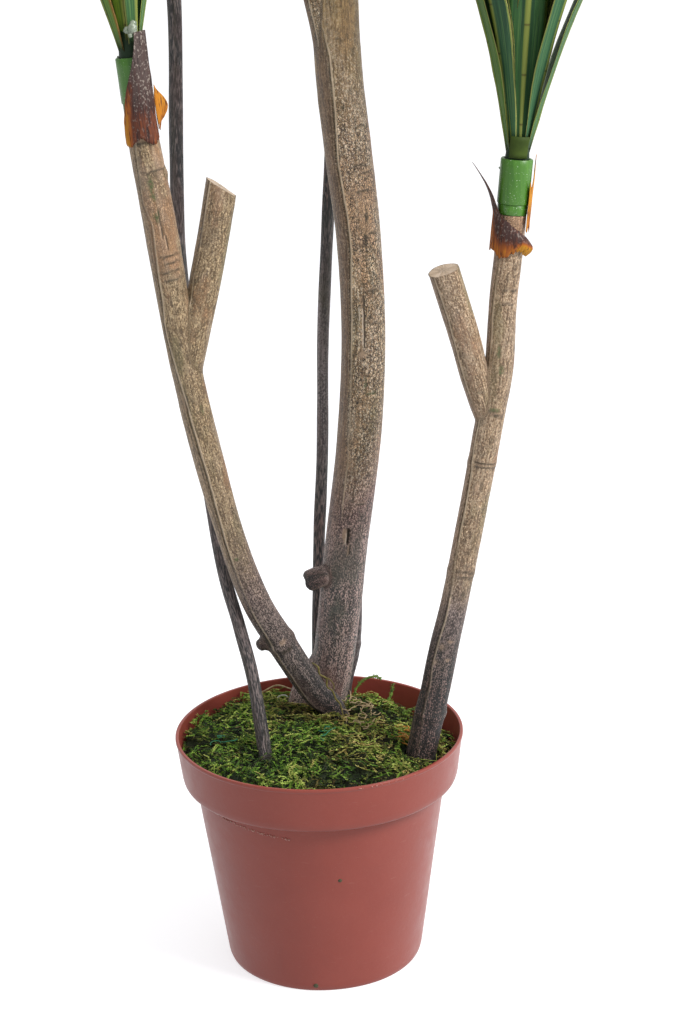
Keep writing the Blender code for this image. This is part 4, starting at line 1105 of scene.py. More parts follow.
def lay_out_leaves(rows):
    """Find for each head the leaves that clear every pole, sleeve and leaf of the other heads."""
    chance = random.Random(8)
    guards, sleeves = pole_guards(rows)
    heads = {}
    finished = []
    for name, route, sleeve_radius, count, length, lowest in rows:
        top, axis = head_place(smooth_route(route, POLE_STEP))
        others = guards + finished + [tree for key, tree in sleeves.items() if key != name]
        kept = []
        outer_parts = []
        for index in range(count):
            leaf = wanted_leaf(name, index, count, length, sleeve_radius, chance)
            for attempt in range(LEAF_TRIES):
                trial = bent_leaf(leaf, attempt, chance)
                line = leaf_line(top, axis, trial)
                vertices, faces = blade(line, trial["root"], LEAF_STATIONS, CLEARANCE)
                if min(v.z for v in vertices) < lowest:
                    continue
                tree = tree_of(vertices, faces)
                if any(tree.overlap(other) for other in others):
                    continue
                outer_vertices, outer_faces = blade(line, trial["root"], LEAF_STATIONS[1:], 0.0)
                outer = tree_of(outer_vertices, outer_faces)
                if any(outer.overlap(other) for other in outer_parts):
                    continue
                kept.append((trial, line))
                outer_parts.append(outer)
                break
        heads[name] = kept
        finished += [tree_of(*blade(line, leaf["root"], LEAF_STATIONS, 0.0)) for leaf, line in kept]
    return heads


def pole_frames(samples):
    """Centres, radii, tangents and two cross directions of a pole; the first one faces the front."""
    centre = np.array([point[:] for point, _ in samples])
    radius = np.array([r for _, r in samples])
    tangent = np.gradient(centre, axis=0)
    tangent /= np.linalg.norm(tangent, axis=1)[:, None]
    front = np.array((0.0, -1.0, 0.0)) - tangent * (-tangent[:, 1])[:, None]
    front /= np.linalg.norm(front, axis=1)[:, None]
    right = np.cross(tangent, front)
    along = np.concatenate(([0.0], np.cumsum(np.linalg.norm(np.diff(centre, axis=0), axis=1))))
    return centre, radius, tangent, front, right, along


def round_tube(route, step, sides, extra=0.0):
    """Vertices and faces of a closed plain tube along a route of (x, y, z, radius)."""
    centre, radius, _, front, right, _ = pole_frames(smooth_route(route, step))
    angle = (np.arange(sides) / sides * math.tau)[None, :, None]
    rows = centre[:, None] + (radius + extra)[:, None, None] * (
        front[:, None] * np.cos(angle) + right[:, None] * np.sin(angle))
    return np.concatenate((rows.reshape(-1, 3), centre[:1], centre[-1:])), tube_faces(len(centre), sides)


def arc_gap(angle, line_angle, radius):
    """Distance round the pole from a line at an angle."""
    turn = (angle - line_angle + math.pi) % math.tau - math.pi
    return turn * radius


def bark_relief(height, angle, radius, unbent, bark, seed):
    """How far the bark stands out of the smooth pole, with its masks: painted shade in the hollows together
    with the real dark of scars, and pale edges, which are real chips and torn rims plus painted highlight on
    raised lips and crowns.
    """

    def field(across, along, number, shift=0.0):
        return soft_noise(unbent * (across, across, along) + shift, seed + number)

    def beside(degrees):
        return arc_gap(angle, math.radians(degrees), radius)

    def between(value, low, high, soft):
        return ease(value, low - soft, low + soft) * (1.0 - ease(value, high - soft, high + soft))

    fibres = field(520.0, 110.0, 2)
    relief = 0.00055 * field(45.0, 16.0, 0) + 0.00022 * field(260.0, 26.0, 1) + 0.00010 * fibres
    net = np.abs(field(210.0, 165.0, 3) + 0.5 * field(420.0, 300.0, 4))
    crack = (1.0 - ease(net, 0.02, 0.16)) * ease(field(30.0, 14.0, 5), -0.35, 0.25) * bark.crackle
    # Painted shade: the colour darkens in the cracks and in the low parts of the fibres.
    cavity = 0.55 * crack + 0.25 * ease(-fibres, 0.35, 0.8)
    edge = np.zeros_like(relief)
    green = np.zeros_like(relief)
    heights, degrees = zip(*bark.seam)
    wander = 0.0006 * field(0.0, 60.0, 6)
    turn = angle - np.interp(height, heights, np.radians(degrees))
    gap = arc_gap(turn, 0.0, radius) + wander
    fade = 0.35 + 0.65 * ease(field(0.0, 22.0, 7, 7.0), -0.5, 0.1)
    fade = fade * ease(height, heights[0], heights[0] + 0.025)
    groove, second, lip = (peak(gap - offset, half) * fade for offset, half in SEAM_LINES)
    seam = np.stack((np.sin(turn) * radius + wander, np.cos(turn), fade), axis=-1)
    strip = ease(-gap, 0.0, 0.002) * ease(gap, -0.018, -0.012)
    relief += 0.0007 * lip - 0.0010 * groove - 0.0004 * second - 0.00035 * strip
    cavity = cavity * (1.0 - 0.7 * strip)
    for low, high, place, depth, half in bark.slits:
        span = between(height, low, high, 0.0015)
        near = peak(beside(place), half)
        rim = peak(beside(place) + 1.9 * half, 0.8 * half)
        relief += (0.0004 * rim - depth * near) * span
        # Painted shade darkens the slit's inside; the pale rim beside it is the torn bark's own colour.
        cavity += ease(near, 0.3, 0.8) * span * min(1.0, depth / 0.001)
        edge += 0.9 * rim * span
    for level, first, last in bark.cracks:
        off = height - level + 0.0011 * field(150.0, 0.0, 9) + 0.0005 * field(480.0, 0.0, 13)
        reach = between(angle, math.radians(first), math.radians(last), math.radians(8))
        line = peak(off, 0.0008) * reach
        above = peak(off - 0.0014, 0.0009) * reach
        relief += 0.0003 * above - 0.0005 * line
        # Painted shade in the crack, and a painted highlight on the raised lip above it.
        cavity += line
        edge += 0.35 * above
    for level, swell, half in bark.rings:
        off = height - level + 0.0022 * field(70.0, 0.0, 10)
        broken = 0.15 + 0.85 * ease(field(95.0, 0.0, 11, 3.0), -0.3, 0.3)
        relief += swell * peak(off, half)
        # Painted shade in the hollows on both sides of the ring, and a painted highlight on its crown.
        cavity += (0.80 * peak(off + 0.8 * half, 0.0009) + 0.50 * peak(off - 0.9 * half, 0.0008)) * broken
        edge += 0.15 * peak(off, 0.4 * half) * broken
    for kind, level, place, tall, wide in bark.marks:
        torn = 0.45 * field(900.0, 420.0, 12)
        spot = 1.0 - ease(np.hypot((height - level) / tall, beside(place) / wide) + torn, 0.65, 1.15)
        if kind == "green":
            green = np.maximum(green, spot)
        elif kind == "scar":
            cavity += 0.75 * spot
            relief -= 0.0003 * spot
        else:
            edge += 0.95 * spot
            relief -= 0.0002 * spot
    return relief, {"cavity": np.clip(cavity, 0.0, 1.0), "edge": np.clip(edge, 0.0, 1.0),
                    "strip": strip, "green": green, "seam": seam}


def plain_masks(shape, cavity, edge):
    """Masks of bark that has no seam."""
    return {"cavity": cavity, "edge": edge, "strip": np.zeros(shape), "green": np.zeros(shape),
            "seam": np.zeros((*shape, 3))}


def stem_relief(unbent, seed):
    """Long ribs and fine scars of a thin stem."""
    ribs = soft_noise(unbent * (420.0, 420.0, 12.0), seed)
    fine = soft_noise(unbent * (700.0, 700.0, 60.0), seed + 1)
    relief = 0.00022 * ribs + 0.00007 * fine + 0.0003 * soft_noise(unbent * (60.0, 60.0, 30.0), seed + 2)
    # Painted shade in the hollows between the ribs, and painted highlight on the rib tops.
    cavity = 0.6 * ease(-ribs, 0.25, 0.7) + 0.2 * ease(-fine, 0.4, 0.8)
    edge = 0.35 * ease(ribs, 0.45, 0.9) * ease(fine, -0.2, 0.5)
    return relief, plain_masks(relief.shape, cavity, edge)


def pole_tube(name, route, sides, step, relief_of, tone_of, material, slope=0.0, ragged=0.0,
              end_cut=1.0, end_tone=0.0, grain_scale=1.0):
    """One fine tube of a pole, stem or shoot, with its bark and its cut end.

    A higher grain scale makes the colour's fibres shorter.
    """
    centre, radius, tangent, front, right, along = pole_frames(smooth_route(route, step))
    shape = len(centre), sides
    angle = np.broadcast_to((np.arange(sides) / sides * math.tau + math.pi) % math.tau - math.pi, shape)
    towards, aside = np.cos(angle), np.sin(angle)
    unbent = np.stack((towards * radius[:, None], aside * radius[:, None],
                       np.broadcast_to(along[:, None], shape)), axis=-1)
    height = np.broadcast_to(centre[:, 2:], shape)
    relief, masks = relief_of(height, angle, radius[:, None], unbent)
    from_end = along[-1] - along
    reach = radius[:, None] + relief * ease(from_end, 0.0, END_HOLD)[:, None]
    shift = slope * unbent[..., 1] + ragged * soft_noise(unbent * (END_ROUGH, END_ROUGH, 0.0), END_SEED)
    shift = shift * (1.0 - ease(from_end, 0.0, END_SLOPE))[:, None]
    points = (centre[:, None] + front[:, None] * (towards * reach)[..., None]
              + right[:, None] * (aside * reach)[..., None] + tangent[:, None] * shift[..., None])
    middle = points[-1].mean(axis=0)
    insets = [middle + (points[-1] - middle) * share for share in CUT_INSETS]
    vertices = np.concatenate([points.reshape(-1, 3), *insets, [points[0].mean(axis=0), middle]])
    spare = len(CUT_INSETS) * sides + 2

    def padded(values, end_value):
        flat = values.reshape(angle.size, -1)
        return np.squeeze(np.concatenate((flat, np.full((spare, flat.shape[1]), end_value))))

    ends = np.tile(unbent[-1], (len(CUT_INSETS), 1)) * (0.6, 0.6, 1.0)
    unbent_all = np.concatenate((unbent.reshape(-1, 3), ends, unbent[-1][:2] * (0.0, 0.0, 1.0)))
    tone = tone_of(height, unbent)
    attributes = {key: padded(values, 0.0) for key, values in masks.items()}
    attributes["pole"] = unbent_all * (1.0, 1.0, grain_scale)
    attributes["tone"] = padded(tone, end_tone)
    attributes["cut"] = padded(tone * 0.0, end_cut)
    attributes["cut"][-2] = 0.0
    return mesh_piece(name, vertices, tube_faces(shape[0] + len(CUT_INSETS), sides), material, attributes)


def swelling(name, bump, tone, material):
    """A small bump at an old leaf node."""
    *centre, radius = bump
    sides, rings = 16, 9
    offsets = ball(rings, sides) * radius
    rough = soft_noise((offsets + centre) * 260.0, 31)
    offsets = offsets * (1.0 + 0.10 * rough)[:, None]
    # Painted shade in the swelling's hollows, and painted highlight on its bumps.
    attributes = plain_masks(rough.shape, 0.5 * ease(-rough, 0.1, 0.6), 0.4 * ease(rough, 0.2, 0.8))
    attributes.update(pole=offsets, tone=np.full(len(offsets), tone), cut=np.zeros(len(offsets)))
    return mesh_piece(name, offsets + centre, tube_faces(rings, sides), material, attributes)


def join(piece, others, operation="UNION"):
    """Join other closed pieces to one, or cut them from it; attributes stay with their surfaces."""
    for other in others:
        boolean = piece.modifiers.new("Join", "BOOLEAN")
        boolean.operation = operation
        boolean.solver = "MANIFOLD"
        boolean.object = other
    depsgraph = bpy.context.evaluated_depsgraph_get()
    mesh = bpy.data.meshes.new_from_object(piece.evaluated_get(depsgraph))
    piece.modifiers.clear()
    piece.data = mesh
    for other in others:
        bpy.data.objects.remove(other, do_unlink=True)
    mesh.shade_smooth()


def soften_joints(piece, own, shoots, rounds):
    """Relax the bark where a shoot leaves the pole, so that the crotch is a rounded web."""
    mesh = piece.data
    tones = mesh.attributes["tone"].data
    points = np.zeros((len(mesh.vertices), 3), np.float32)
    tone = np.zeros(len(points), np.float32)
    pairs = np.zeros((len(mesh.edges), 2), np.int32)
    mesh.vertices.foreach_get("co", points.ravel())
    tones.foreach_get("value", tone)
    mesh.edges.foreach_get("vertices", pairs.ravel())
    values = np.column_stack((points, tone)).astype(float)
    points = values[:, :3].copy()
    first, second = pairs.T
    weight = np.zeros(len(points))
    for shoot in shoots:
        gap = np.maximum(np.abs(skin_gap(points, own)), np.abs(skin_gap(points, shoot)))
        weight = np.maximum(weight, 1.0 - ease(gap, JOINT_BLEND * JOINT_CORE, JOINT_BLEND))
    count = np.bincount(pairs.ravel(), minlength=len(points))
    for _ in range(rounds):
        average = np.stack([np.bincount(first, values[second, column], len(values))
                            + np.bincount(second, values[first, column], len(values))
                            for column in range(4)], axis=1)
        average /= np.maximum(count, 1)[:, None]
        values += (average - values) * (JOINT_PULL * weight)[:, None]
    mesh.vertices.foreach_set("co", values[:, :3].astype(np.float32).ravel())
    tones.foreach_set("value", values[:, 3].astype(np.float32))
    mesh.update()


def skin_gap(points, samples):
    """Distance of points from the skin of a tube, below 0 inside it."""
    centre, radius = samples
    gap = np.full(len(points), 1e9)
    inside = (points > centre.min(axis=0) - SKIN_MARGIN) & (points < centre.max(axis=0) + SKIN_MARGIN)
    near = np.nonzero(np.all(inside, axis=1))[0]
    for start in range(0, len(near), SKIN_BATCH):
        chosen = near[start:start + SKIN_BATCH]
        away = np.linalg.norm(points[chosen][:, None] - centre[None], axis=2) - radius[None]
        gap[chosen] = away.min(axis=1)
    return gap


def coarse(route):
    """Centres and radii along a route, close enough for distances."""
    samples = smooth_route(route, SKIN_STEP)
    return np.array([p[:] for p, _ in samples]), np.array([r for _, r in samples])


def finish_pole(pole, name, route, parts, shoots, tone_at, rounds, material):
    """Join shoots and swellings to a pole, relax the joints and hand the pole over."""
    bumps = SWELLINGS.get(name, ())
    parts = parts + [swelling(f"swelling_{index}", bump, tone_at(bump[2]), material)
                     for index, bump in enumerate(bumps)]
    if parts:
        join(pole, parts)
        skins = [coarse(shoot) for shoot in shoots]
        skins += [(np.array([bump[:3]]), np.array(bump[3:])) for bump in bumps]
        soften_joints(pole, coarse(route), skins, rounds)
    keep(pole, f"pole_{name}")


def build_pole(name, route, seed):
    """A thick pole with its stubs, flare, knob or rib."""
    bark = BARKS[name]
    plain = bark._replace(seam=((0.0, -50), (1.2, -50)), slits=(), cracks=(), rings=(), marks=())
    # The pale colour is for chips and torn rims, and for the painted highlight on raised lips.
    material = bark_material(f"bark_{name}", PALETTES[name], CRACKLE[name], (0.560, 0.385, 0.255),
                             lines=THIN_LINES.get(name, ()), smooth_from=SMOOTH_FROM[name])

    def dark_at(height):
        return 1.0 - ease(height, bark.dark, bark.tan)

    def tone_of(height, unbent):
        shift = 0.15 * soft_noise(unbent * (50.0, 50.0, 14.0), seed + 20)
        foot = 0.5 * (1.0 - ease(height, bark.foot - 0.030, bark.foot + 0.010))
        return np.clip(dark_at(height) + foot + shift, 0.0, 1.5)

    def knob_tone(height, unbent):
        outward = np.maximum(unbent[..., 2] - 0.010, 0.0)
        return np.clip(1.30 + 30.0 * outward + 0.2 * soft_noise(unbent * 90.0, seed), 1.0, 1.5)

    def relief_with(chosen, own_seed):
        return lambda *place: bark_relief(*place, chosen, own_seed)

    pole = pole_tube(f"yucca_pole_{name}", route, POLE_SIDES[name], POLE_RING, relief_with(bark, seed),
                     tone_of, material)
    parts = []
    for number, shoot in enumerate(SHOOTS[name]):
        slope = CUT_SLOPES[name] if number == 0 else 0.0
        relief_of = relief_with(plain, seed + 30 + number)
        if shoot is KNOB_CENTRE:
            part = pole_tube("knob", shoot, SHOOT_SIDES, POLE_RING, relief_of, knob_tone, material,
                             slope, 0.0016, 0.0, 1.35, 4.0)
        else:
            part = pole_tube("shoot", shoot, SHOOT_SIDES, POLE_RING, relief_of, tone_of, material,
                             slope, 0.0005)
        parts.append(part)
    finish_pole(pole, name, route, parts, SHOOTS[name], lambda z: float(dark_at(z)),
                POLE_ROUNDS, material)


def build_stem(name, route, seed, material):
    heights, tones = zip(*STEM_DARK[name])
    stem = pole_tube(f"yucca_{name}", route, STEM_SIDES, STEM_RING,
                     lambda *place: stem_relief(place[-1], seed),
                     lambda height, unbent: np.interp(height, heights, tones), material)
    finish_pole(stem, name, route, [], (), lambda z: np.interp(z, heights, tones),
                STEM_ROUNDS, material)


def rounded(corners, steps=5):
    """A profile of (radius, height) whose corners (radius, height, fillet) are rounded."""
    points = []
    for index, (x, z, fillet) in enumerate(corners):
        here = Vector((x, z))
        if fillet <= 0.0 or index in (0, len(corners) - 1):
            points.append((x, z))
            continue
        before = Vector(corners[index - 1][:2]) - here
        after = Vector(corners[index + 1][:2]) - here
        reach = min(fillet, before.length * 0.45, after.length * 0.45)
        start = here + before.normalized() * reach
        end = here + after.normalized() * reach
        for step in range(steps + 1):
            t = step / steps
            point = start * (1 - t) ** 2 + here * (2 * t * (1 - t)) + end * t ** 2
            points.append((point.x, point.y))
    return points


def divided(points, longest):
    """The profile with its long straights cut into shorter ones."""
    out = [points[0]]
    for (x0, z0), (x1, z1) in zip(points, points[1:]):
        pieces = max(1, math.ceil(math.hypot(x1 - x0, z1 - z0) / longest))
        out += [(x0 + (x1 - x0) * k / pieces, z0 + (z1 - z0) * k / pieces) for k in range(1, pieces + 1)]
    return out


def pot_inner_radius(height):
    """Inner radius of the pot's body below the step."""
    share = (height - POT_FLOOR) / (BODY_TOP - POT_FLOOR)
    return POT_BASE_RADIUS + (BODY_RADIUS - POT_BASE_RADIUS) * share - POT_WALL


def build_pot():
    lip = 0.0021
    corners = (
        (0.0, 0.0, 0.0),
        (POT_BASE_RADIUS - 0.0010, 0.0, 0.0012),
        (POT_BASE_RADIUS + 0.0004, 0.0035, 0.0030),
        (BODY_RADIUS, BODY_TOP - 0.0010, 0.0012),
        (BODY_RADIUS + 0.0012, BODY_TOP + 0.0008, 0.0010),
        (BAND_RADIUS - 0.0012, BAND_LOW - 0.0018, 0.0040),
        (BAND_RADIUS + 0.0002, BAND_LOW + 0.0030, 0.0030),
        (POT_RADIUS - 0.0006, POT_HEIGHT - lip - 0.0008, 0.0004),
        (POT_RADIUS, POT_HEIGHT - lip, 0.0004),
        (POT_RADIUS, POT_HEIGHT, 0.0008),
        (POT_RADIUS - POT_WALL, POT_HEIGHT, 0.0008),
        (BAND_RADIUS - POT_WALL, BAND_LOW + 0.0020, 0.0030),
        (BODY_RADIUS + 0.001, BAND_LOW, 0.0020),
        (pot_inner_radius(BODY_TOP), BODY_TOP, 0.0010),
        (pot_inner_radius(POT_FLOOR), POT_FLOOR, 0.0020),
        (0.0, POT_FLOOR, 0.0),
    )
    profile = divided(rounded(corners), 0.008)

    def warp(angle, height):
        return 0.00022 * noise.noise(Vector((math.cos(angle) * 2.0, math.sin(angle) * 2.0, height * 20.0)))

    rows = revolved(profile[1:-1], POT_STEPS, warp) + [(0.0, 0.0, 0.0), (0.0, 0.0, POT_FLOOR)]
    pot = mesh_piece("nursery_pot", rows, tube_faces(len(profile) - 2, POT_STEPS), pot_material())
    pot.data.set_sharp_from_angle(angle=math.radians(50))
    keep(pot, "pot")


def pebble(centre, size, seed, stretch=(1.0, 1.0, 1.0)):
    """Vertices and faces of a small rough lump."""
    sides, rings = 7, 4
    rows = ball(rings, sides)
    rows = rows * (1.0 + 0.25 * soft_noise(rows * 1.7 + seed * 3.1, seed))[:, None]
    return np.array(centre) + rows * size * np.array(stretch), tube_faces(rings, sides)


def gathered(name, lumps, material, attributes=None):
    """Many small shapes as one piece."""
    vertices, faces = [], []
    start = 0
    for points, shape_faces in lumps:
        vertices.append(points)
        faces += [tuple(start + corner for corner in face) for face in shape_faces]
        start += len(points)
    return mesh_piece(name, np.concatenate(vertices), faces, material, attributes)


def build_crumbs():
    """Crumbs of plastic along the seam under the band and on the lip, one drip, and specks of dirt."""
    chance = random.Random(21)
    lumps = []

    def drop_lump(degrees, reach, height, size, seed, stretch=(1.0, 1.0, 1.0)):
        angle = math.radians(degrees)
        lumps.append(pebble((reach * math.cos(angle), reach * math.sin(angle), height), size, seed, stretch))

    for index in range(64):
        degrees = chance.uniform(CRUMB_START, CRUMB_END)
        drop = CRUMB_DROP * (degrees - CRUMB_START) / (CRUMB_END - CRUMB_START)
        height = BODY_TOP - 0.0022 - drop - chance.uniform(0.0, 0.0012)
        drop_lump(degrees, BODY_RADIUS - BODY_LEAN * drop, height, chance.uniform(*CRUMB_SIZE), index)
    for index in range(9):
        height = BODY_TOP - 0.0080 - 0.0006 * index
        reach = BODY_RADIUS - 0.0012 - BODY_LEAN * (BODY_TOP - height - 0.004)
        drop_lump(DRIP_ANGLE + 0.5 * math.sin(index * 2.0), reach, height, DRIP_SIZE, 60 + index)
    for index in range(12):
        degrees = chance.uniform(*LIP_ANGLES)
        drop_lump(degrees, POT_RADIUS, POT_HEIGHT - 0.0012, chance.uniform(*LIP_SIZE), 90 + index,
                  (1.4, 1.4, 0.6))
    plastic = plain_material("seam_crumbs", (0.30, 0.10, 0.08), (0.52, 0.27, 0.22), 900.0, 0.5, 0.0002)
    keep(gathered("pot_seam_crumbs", lumps, plastic), None)
    dirt = plain_material("pot_dirt", (0.030, 0.034, 0.016), (0.090, 0.085, 0.040), 900.0, 0.8, 0.0003)
    specks = [pebble(place, size, 120 + index, (1.2, 0.4, 1.0))
              for index, (place, size) in enumerate(POT_SPECKS)]
    keep(gathered("pot_specks", specks, dirt), None)


def build_heads():
    heads = lay_out_leaves(POLES + STEMS)
    leaf, sleeve, husk = leaf_material(), sleeve_material(), husk_material()
    for index, row in enumerate(POLES + STEMS):
        name, route, sleeve_radius = row[:3]
        samples = smooth_route(route, STEM_STEP if row in STEMS else POLE_STEP)
        place = head_frame(samples, SEAT_GAP + SLEEVE_LENGTH)
        build_leaves(name, place, sleeve_radius, heads[name], leaf, index)
        build_sleeve(name, place, sleeve_radius, sleeve)
        seat = head_frame(samples, SEAT_GAP)
        grid = HUSK_GRID_SHOWN if name in SHOWN_LEAVES else HUSK_GRID
        for letter, sheath, heat in zip("ab", HUSKS[name], HUSK_HEAT.get(name, HUSK_HEAT["other"])):
            build_husk(f"{name}_{letter}", seat, sleeve_radius, sheath, heat, grid, husk)


def fine_blade(line, root, phase):
    """One leaf: an outer face with a raised, knotted midrib, and a plain channelled inner face."""
    fraction = np.linspace(0.0, LEAF_LAST, LEAF_RINGS)
    place = fraction * LEAF_STEPS
    whole = np.arange(LEAF_STEPS + 1)
    points, sides, normals = (
        np.stack([np.interp(place, whole, [row[part][axis] for row in line]) for axis in range(3)], axis=1)
        for part in range(3))
    half = np.array([leaf_half_width(value, root) for value in fraction])[:, None]
    across = np.array(LEAF_OUTER + LEAF_INNER)[None, :]
    shape = LEAF_RINGS, across.size
    outer = (np.arange(across.size) < len(LEAF_OUTER))[None, :]
    along = fraction[:, None]
    fade = 1.0 - LEAF_THINNING * along
    thick = BLADE_HALF * fade * (1.0 - 0.6 * across ** 2)
    knots = 1.0 + 0.5 * peak((along * 11.0 + phase) % 1.0 - 0.5, 0.06)
    rib = RIB_RISE * fade * knots * np.interp(np.abs(across), (0.0, 0.10, 0.17), (1.0, 0.8, 0.0))
    ripple = 0.0006 * across ** 2 * np.sin(along * 31.0 + 9.0 * phase + 1.5 * across)
    lift = LEAF_FOLD * half * (np.sqrt(across ** 2 + 0.015) - 0.12) + ripple
    depth = lift + np.where(outer, -thick - rib, thick)
    rings = (points[:, None] + sides[:, None] * (across * half)[..., None]
             + normals[:, None] * depth[..., None])
    vertices = np.concatenate((rings.reshape(-1, 3), points[:1], [line[-1][0][:]]))
    return (vertices, tube_faces(*shape), np.append(np.broadcast_to(across, shape), (0.0, 0.0)),
            np.append(np.broadcast_to(along, shape), (0.0, 1.0)))


def build_leaves(name, place, sleeve_radius, leaves, material, seed):
    """A head of leaves round a tapered core, which stands in the sleeve."""
    chance = random.Random(40 + seed)
    core = core_shape(place, sleeve_radius)
    size = len(core[0])
    shells = [core]
    # The core gets along 0, so it is painted dark as shade.
    columns = [[np.full(size, value) for value in (0.3, 0.0, 0.2, 0.0)]]
    looks = SHOWN_LOOKS.get(name, ())
    for index, (leaf, line) in enumerate(leaves):
        vertices, faces, spread, reach = fine_blade(line, leaf["root"], chance.random())
        share = index / len(leaves)
        green = min(1.0, chance.uniform(0.05, 0.75) + 0.25 * share)
        red = chance.uniform(0.15, 0.5) if chance.random() < 0.12 else 0.0
        if index < len(looks):
            green, red = looks[index]
        shells.append((vertices, faces))
        columns.append([spread, reach, np.full(len(vertices), green), np.full(len(vertices), red)])
    names = "across", "along", "tint", "warm"
    attributes = {key: np.concatenate(values) for key, values in zip(names, zip(*columns))}
    keep(gathered(f"yucca_leaves_{name}", shells, material, attributes), f"leaves_{name}")


def core_shape(place, sleeve_radius):
    """The head's core: a peg, a straight part in the sleeve, and a taper that the leaves grow from."""
    foot = -SLEEVE_LENGTH
    full = core_radius(sleeve_radius, 0.0)
    peg = PEG_RADIUS if sleeve_radius > 0.010 else STEM_PEG_RADIUS
    profile = ((peg, foot - PEG_LENGTH), (peg, foot), (full, foot), (full, 0.0), (CORE_TIP_RADIUS, CORE_RISE))
    rows = revolved(profile, CORE_SIDES) + [(0.0, 0.0, foot - PEG_LENGTH), (0.0, 0.0, CORE_RISE)]
    return np.array(placed(place, rows)), tube_faces(len(profile), CORE_SIDES)


def build_sleeve(name, place, radius, material):
    """The moulded sleeve: a straight tube, with a seam ring above a slightly narrower skirt."""
    inner = radius - SLEEVE_WALL
    foot = -SLEEVE_LENGTH
    seam = foot + SLEEVE_SKIRT
    skirt = radius - 0.0007
    profile = [
        (inner + 0.0001, foot), (skirt - 0.0004, foot), (skirt, foot + 0.0004), (skirt, seam - 0.0006),
        (skirt - 0.0003, seam - 0.0003), (radius - 0.0001, seam + 0.0001), (radius, seam + 0.0005),
        (radius, seam + 0.008), (radius, seam + 0.016), (radius, -0.006), (radius, -0.0006),
        (radius - 0.0005, 0.0), (inner + 0.0004, 0.0), (inner, -0.0005), (inner, -0.012), (inner, -0.025),
    ]

    def warp(angle, height):
        return 0.00012 * noise.noise(Vector((math.cos(angle) * 3.0, math.sin(angle) * 3.0, height * 90.0)))

    rows = placed(place, revolved(profile, SLEEVE_SIDES, warp))
    faces = tube_faces(len(profile), SLEEVE_SIDES, ends=False, wrapped=True)
    piece = mesh_piece(f"yucca_sleeve_{name}", rows, faces, material)
    piece.data.set_sharp_from_angle(angle=math.radians(45))
    keep(piece, f"sleeve_{name}")


def husk_point(husk, sleeve_radius, u, v, foot_drop, top_drop):
    """A point of a husk: u runs round the pole from -1 to 1, and v from its foot to its top edge."""
    near = max(0.0, 1.0 - abs(u - husk.place) / husk.width) ** HUSK_POINTED
    across = (u + 1.0) / 2.0
    edge = husk.left + (husk.right - husk.left) * across - top_drop
    top = edge + (husk.point - edge) * near
    bottom = husk.foot + HUSK_JAG * math.sin(HUSK_TEETH * u + husk.azimuth) + foot_drop
    height = bottom + (top - bottom) * v
    gather = 1.0 - husk.squeeze * near * v * v * (3.0 - 2.0 * v)
    angle = math.radians(husk.azimuth + husk.span * (husk.place + (u - husk.place) * gather))
    radius = sleeve_radius + HUSK_THICKNESS + HUSK_SLACK * (1.0 + u * u)
    free = max(0.0, height)
    radius += husk.lean * free + husk.curl * free ** 2 + husk.flare * across ** 2 * math.sin(math.pi * v)
    return angle, radius, height


def build_husk(name, seat, sleeve_radius, husk, heat, grid, material):
    """A dry sheath: a thin fibrous sheet round the joint with a torn foot, ragged sides and a point."""
    base, left, right, foot = heat
    outer, inner, warmth, sheath = [], [], [], []

    def rough(x, y, z):
        return noise.noise(Vector((x, y, z)))

    for u, v in sheet_grid(*grid):
        tear = rough(u * 9.0, husk.azimuth, 0.0)
        fine_tear = rough(u * 34.0, husk.azimuth, 3.0)
        side_tear = 0.035 * rough(v * 7.0, husk.azimuth, u) * abs(u) ** 4
        angle, radius, height = husk_point(husk, sleeve_radius, u + side_tear, v,
                                           0.0022 * tear + 0.0016 * fine_tear, 0.0016 * (1.0 + fine_tear))
        swell = rough(angle * 5.0, height * 60.0, husk.azimuth + 9.0)
        fibre = rough(angle * 26.0, height * 28.0, husk.azimuth)
        stand = 0.00028 * (fibre + 0.6) + 0.00035 * (swell + 0.5)
        thin = HUSK_THICKNESS * (0.55 + 0.45 * min(v, 1.0 - v, 1.0 - abs(u), 0.2) / 0.2)
        for store, reach in ((outer, radius + stand), (inner, radius + stand - thin), (sheath, radius)):
            store.append((reach * math.cos(angle), reach * math.sin(angle), height))
        sides = left * ease(-u, 0.35, 0.85) + right * ease(u, 0.35, 0.85)
        warmth.append(base + (1.0 - ease(v, 0.25, 0.75)) * sides + foot * (1.0 - ease(v, 0.1, 0.6))
                      + 0.10 * swell)
    vertices, faces = closed_sheet(placed(seat, outer), placed(seat, inner), *grid)
    attributes = {"warmth": warmth + warmth, "sheath": sheath + sheath}
    keep(mesh_piece(f"yucca_husk_{name}", vertices, faces, material, attributes), f"husk_{name}")


def band_inner_radius(height):
    """Inner radius of the pot's band above the step."""
    share = (height - BAND_LOW) / (POT_HEIGHT - BAND_LOW)
    return BAND_RADIUS + (POT_RADIUS - BAND_RADIUS) * share - POT_WALL


def moss_height(x, y):
    """Top of the moss: a clumpy low mound that dips at the back right and climbs the wall at the left."""
    wall = POT_RADIUS - POT_WALL
    mound = MOSS_CROWN * (1.0 - min(math.hypot(x, y) / wall, 1.0) ** MOUND_POWER)
    dip = MOSS_DIP * max(0.0, (x * DIP_SIDE[0] + y * DIP_SIDE[1]) / wall) ** DIP_POWER
    lift = MOSS_LIFT * max(0.0, (x * LIFT_SIDE[0] + y * LIFT_SIDE[1]) / wall) ** LIFT_POWER
    coarse, fine = CLUMPS_PER_METRE
    clumps = noise.noise(Vector((x, y, 0.0)) * coarse) + 0.5 * noise.noise(Vector((x, y, 0.4)) * fine)
    return max(MOSS_LEVEL + mound - dip + lift + MOSS_ROUGH * clumps, MOSS_LOWEST)


def flat_noise(x, y, scale, seed):
    return soft_noise(np.stack((x, y, x * 0.0), axis=-1) * scale, seed)


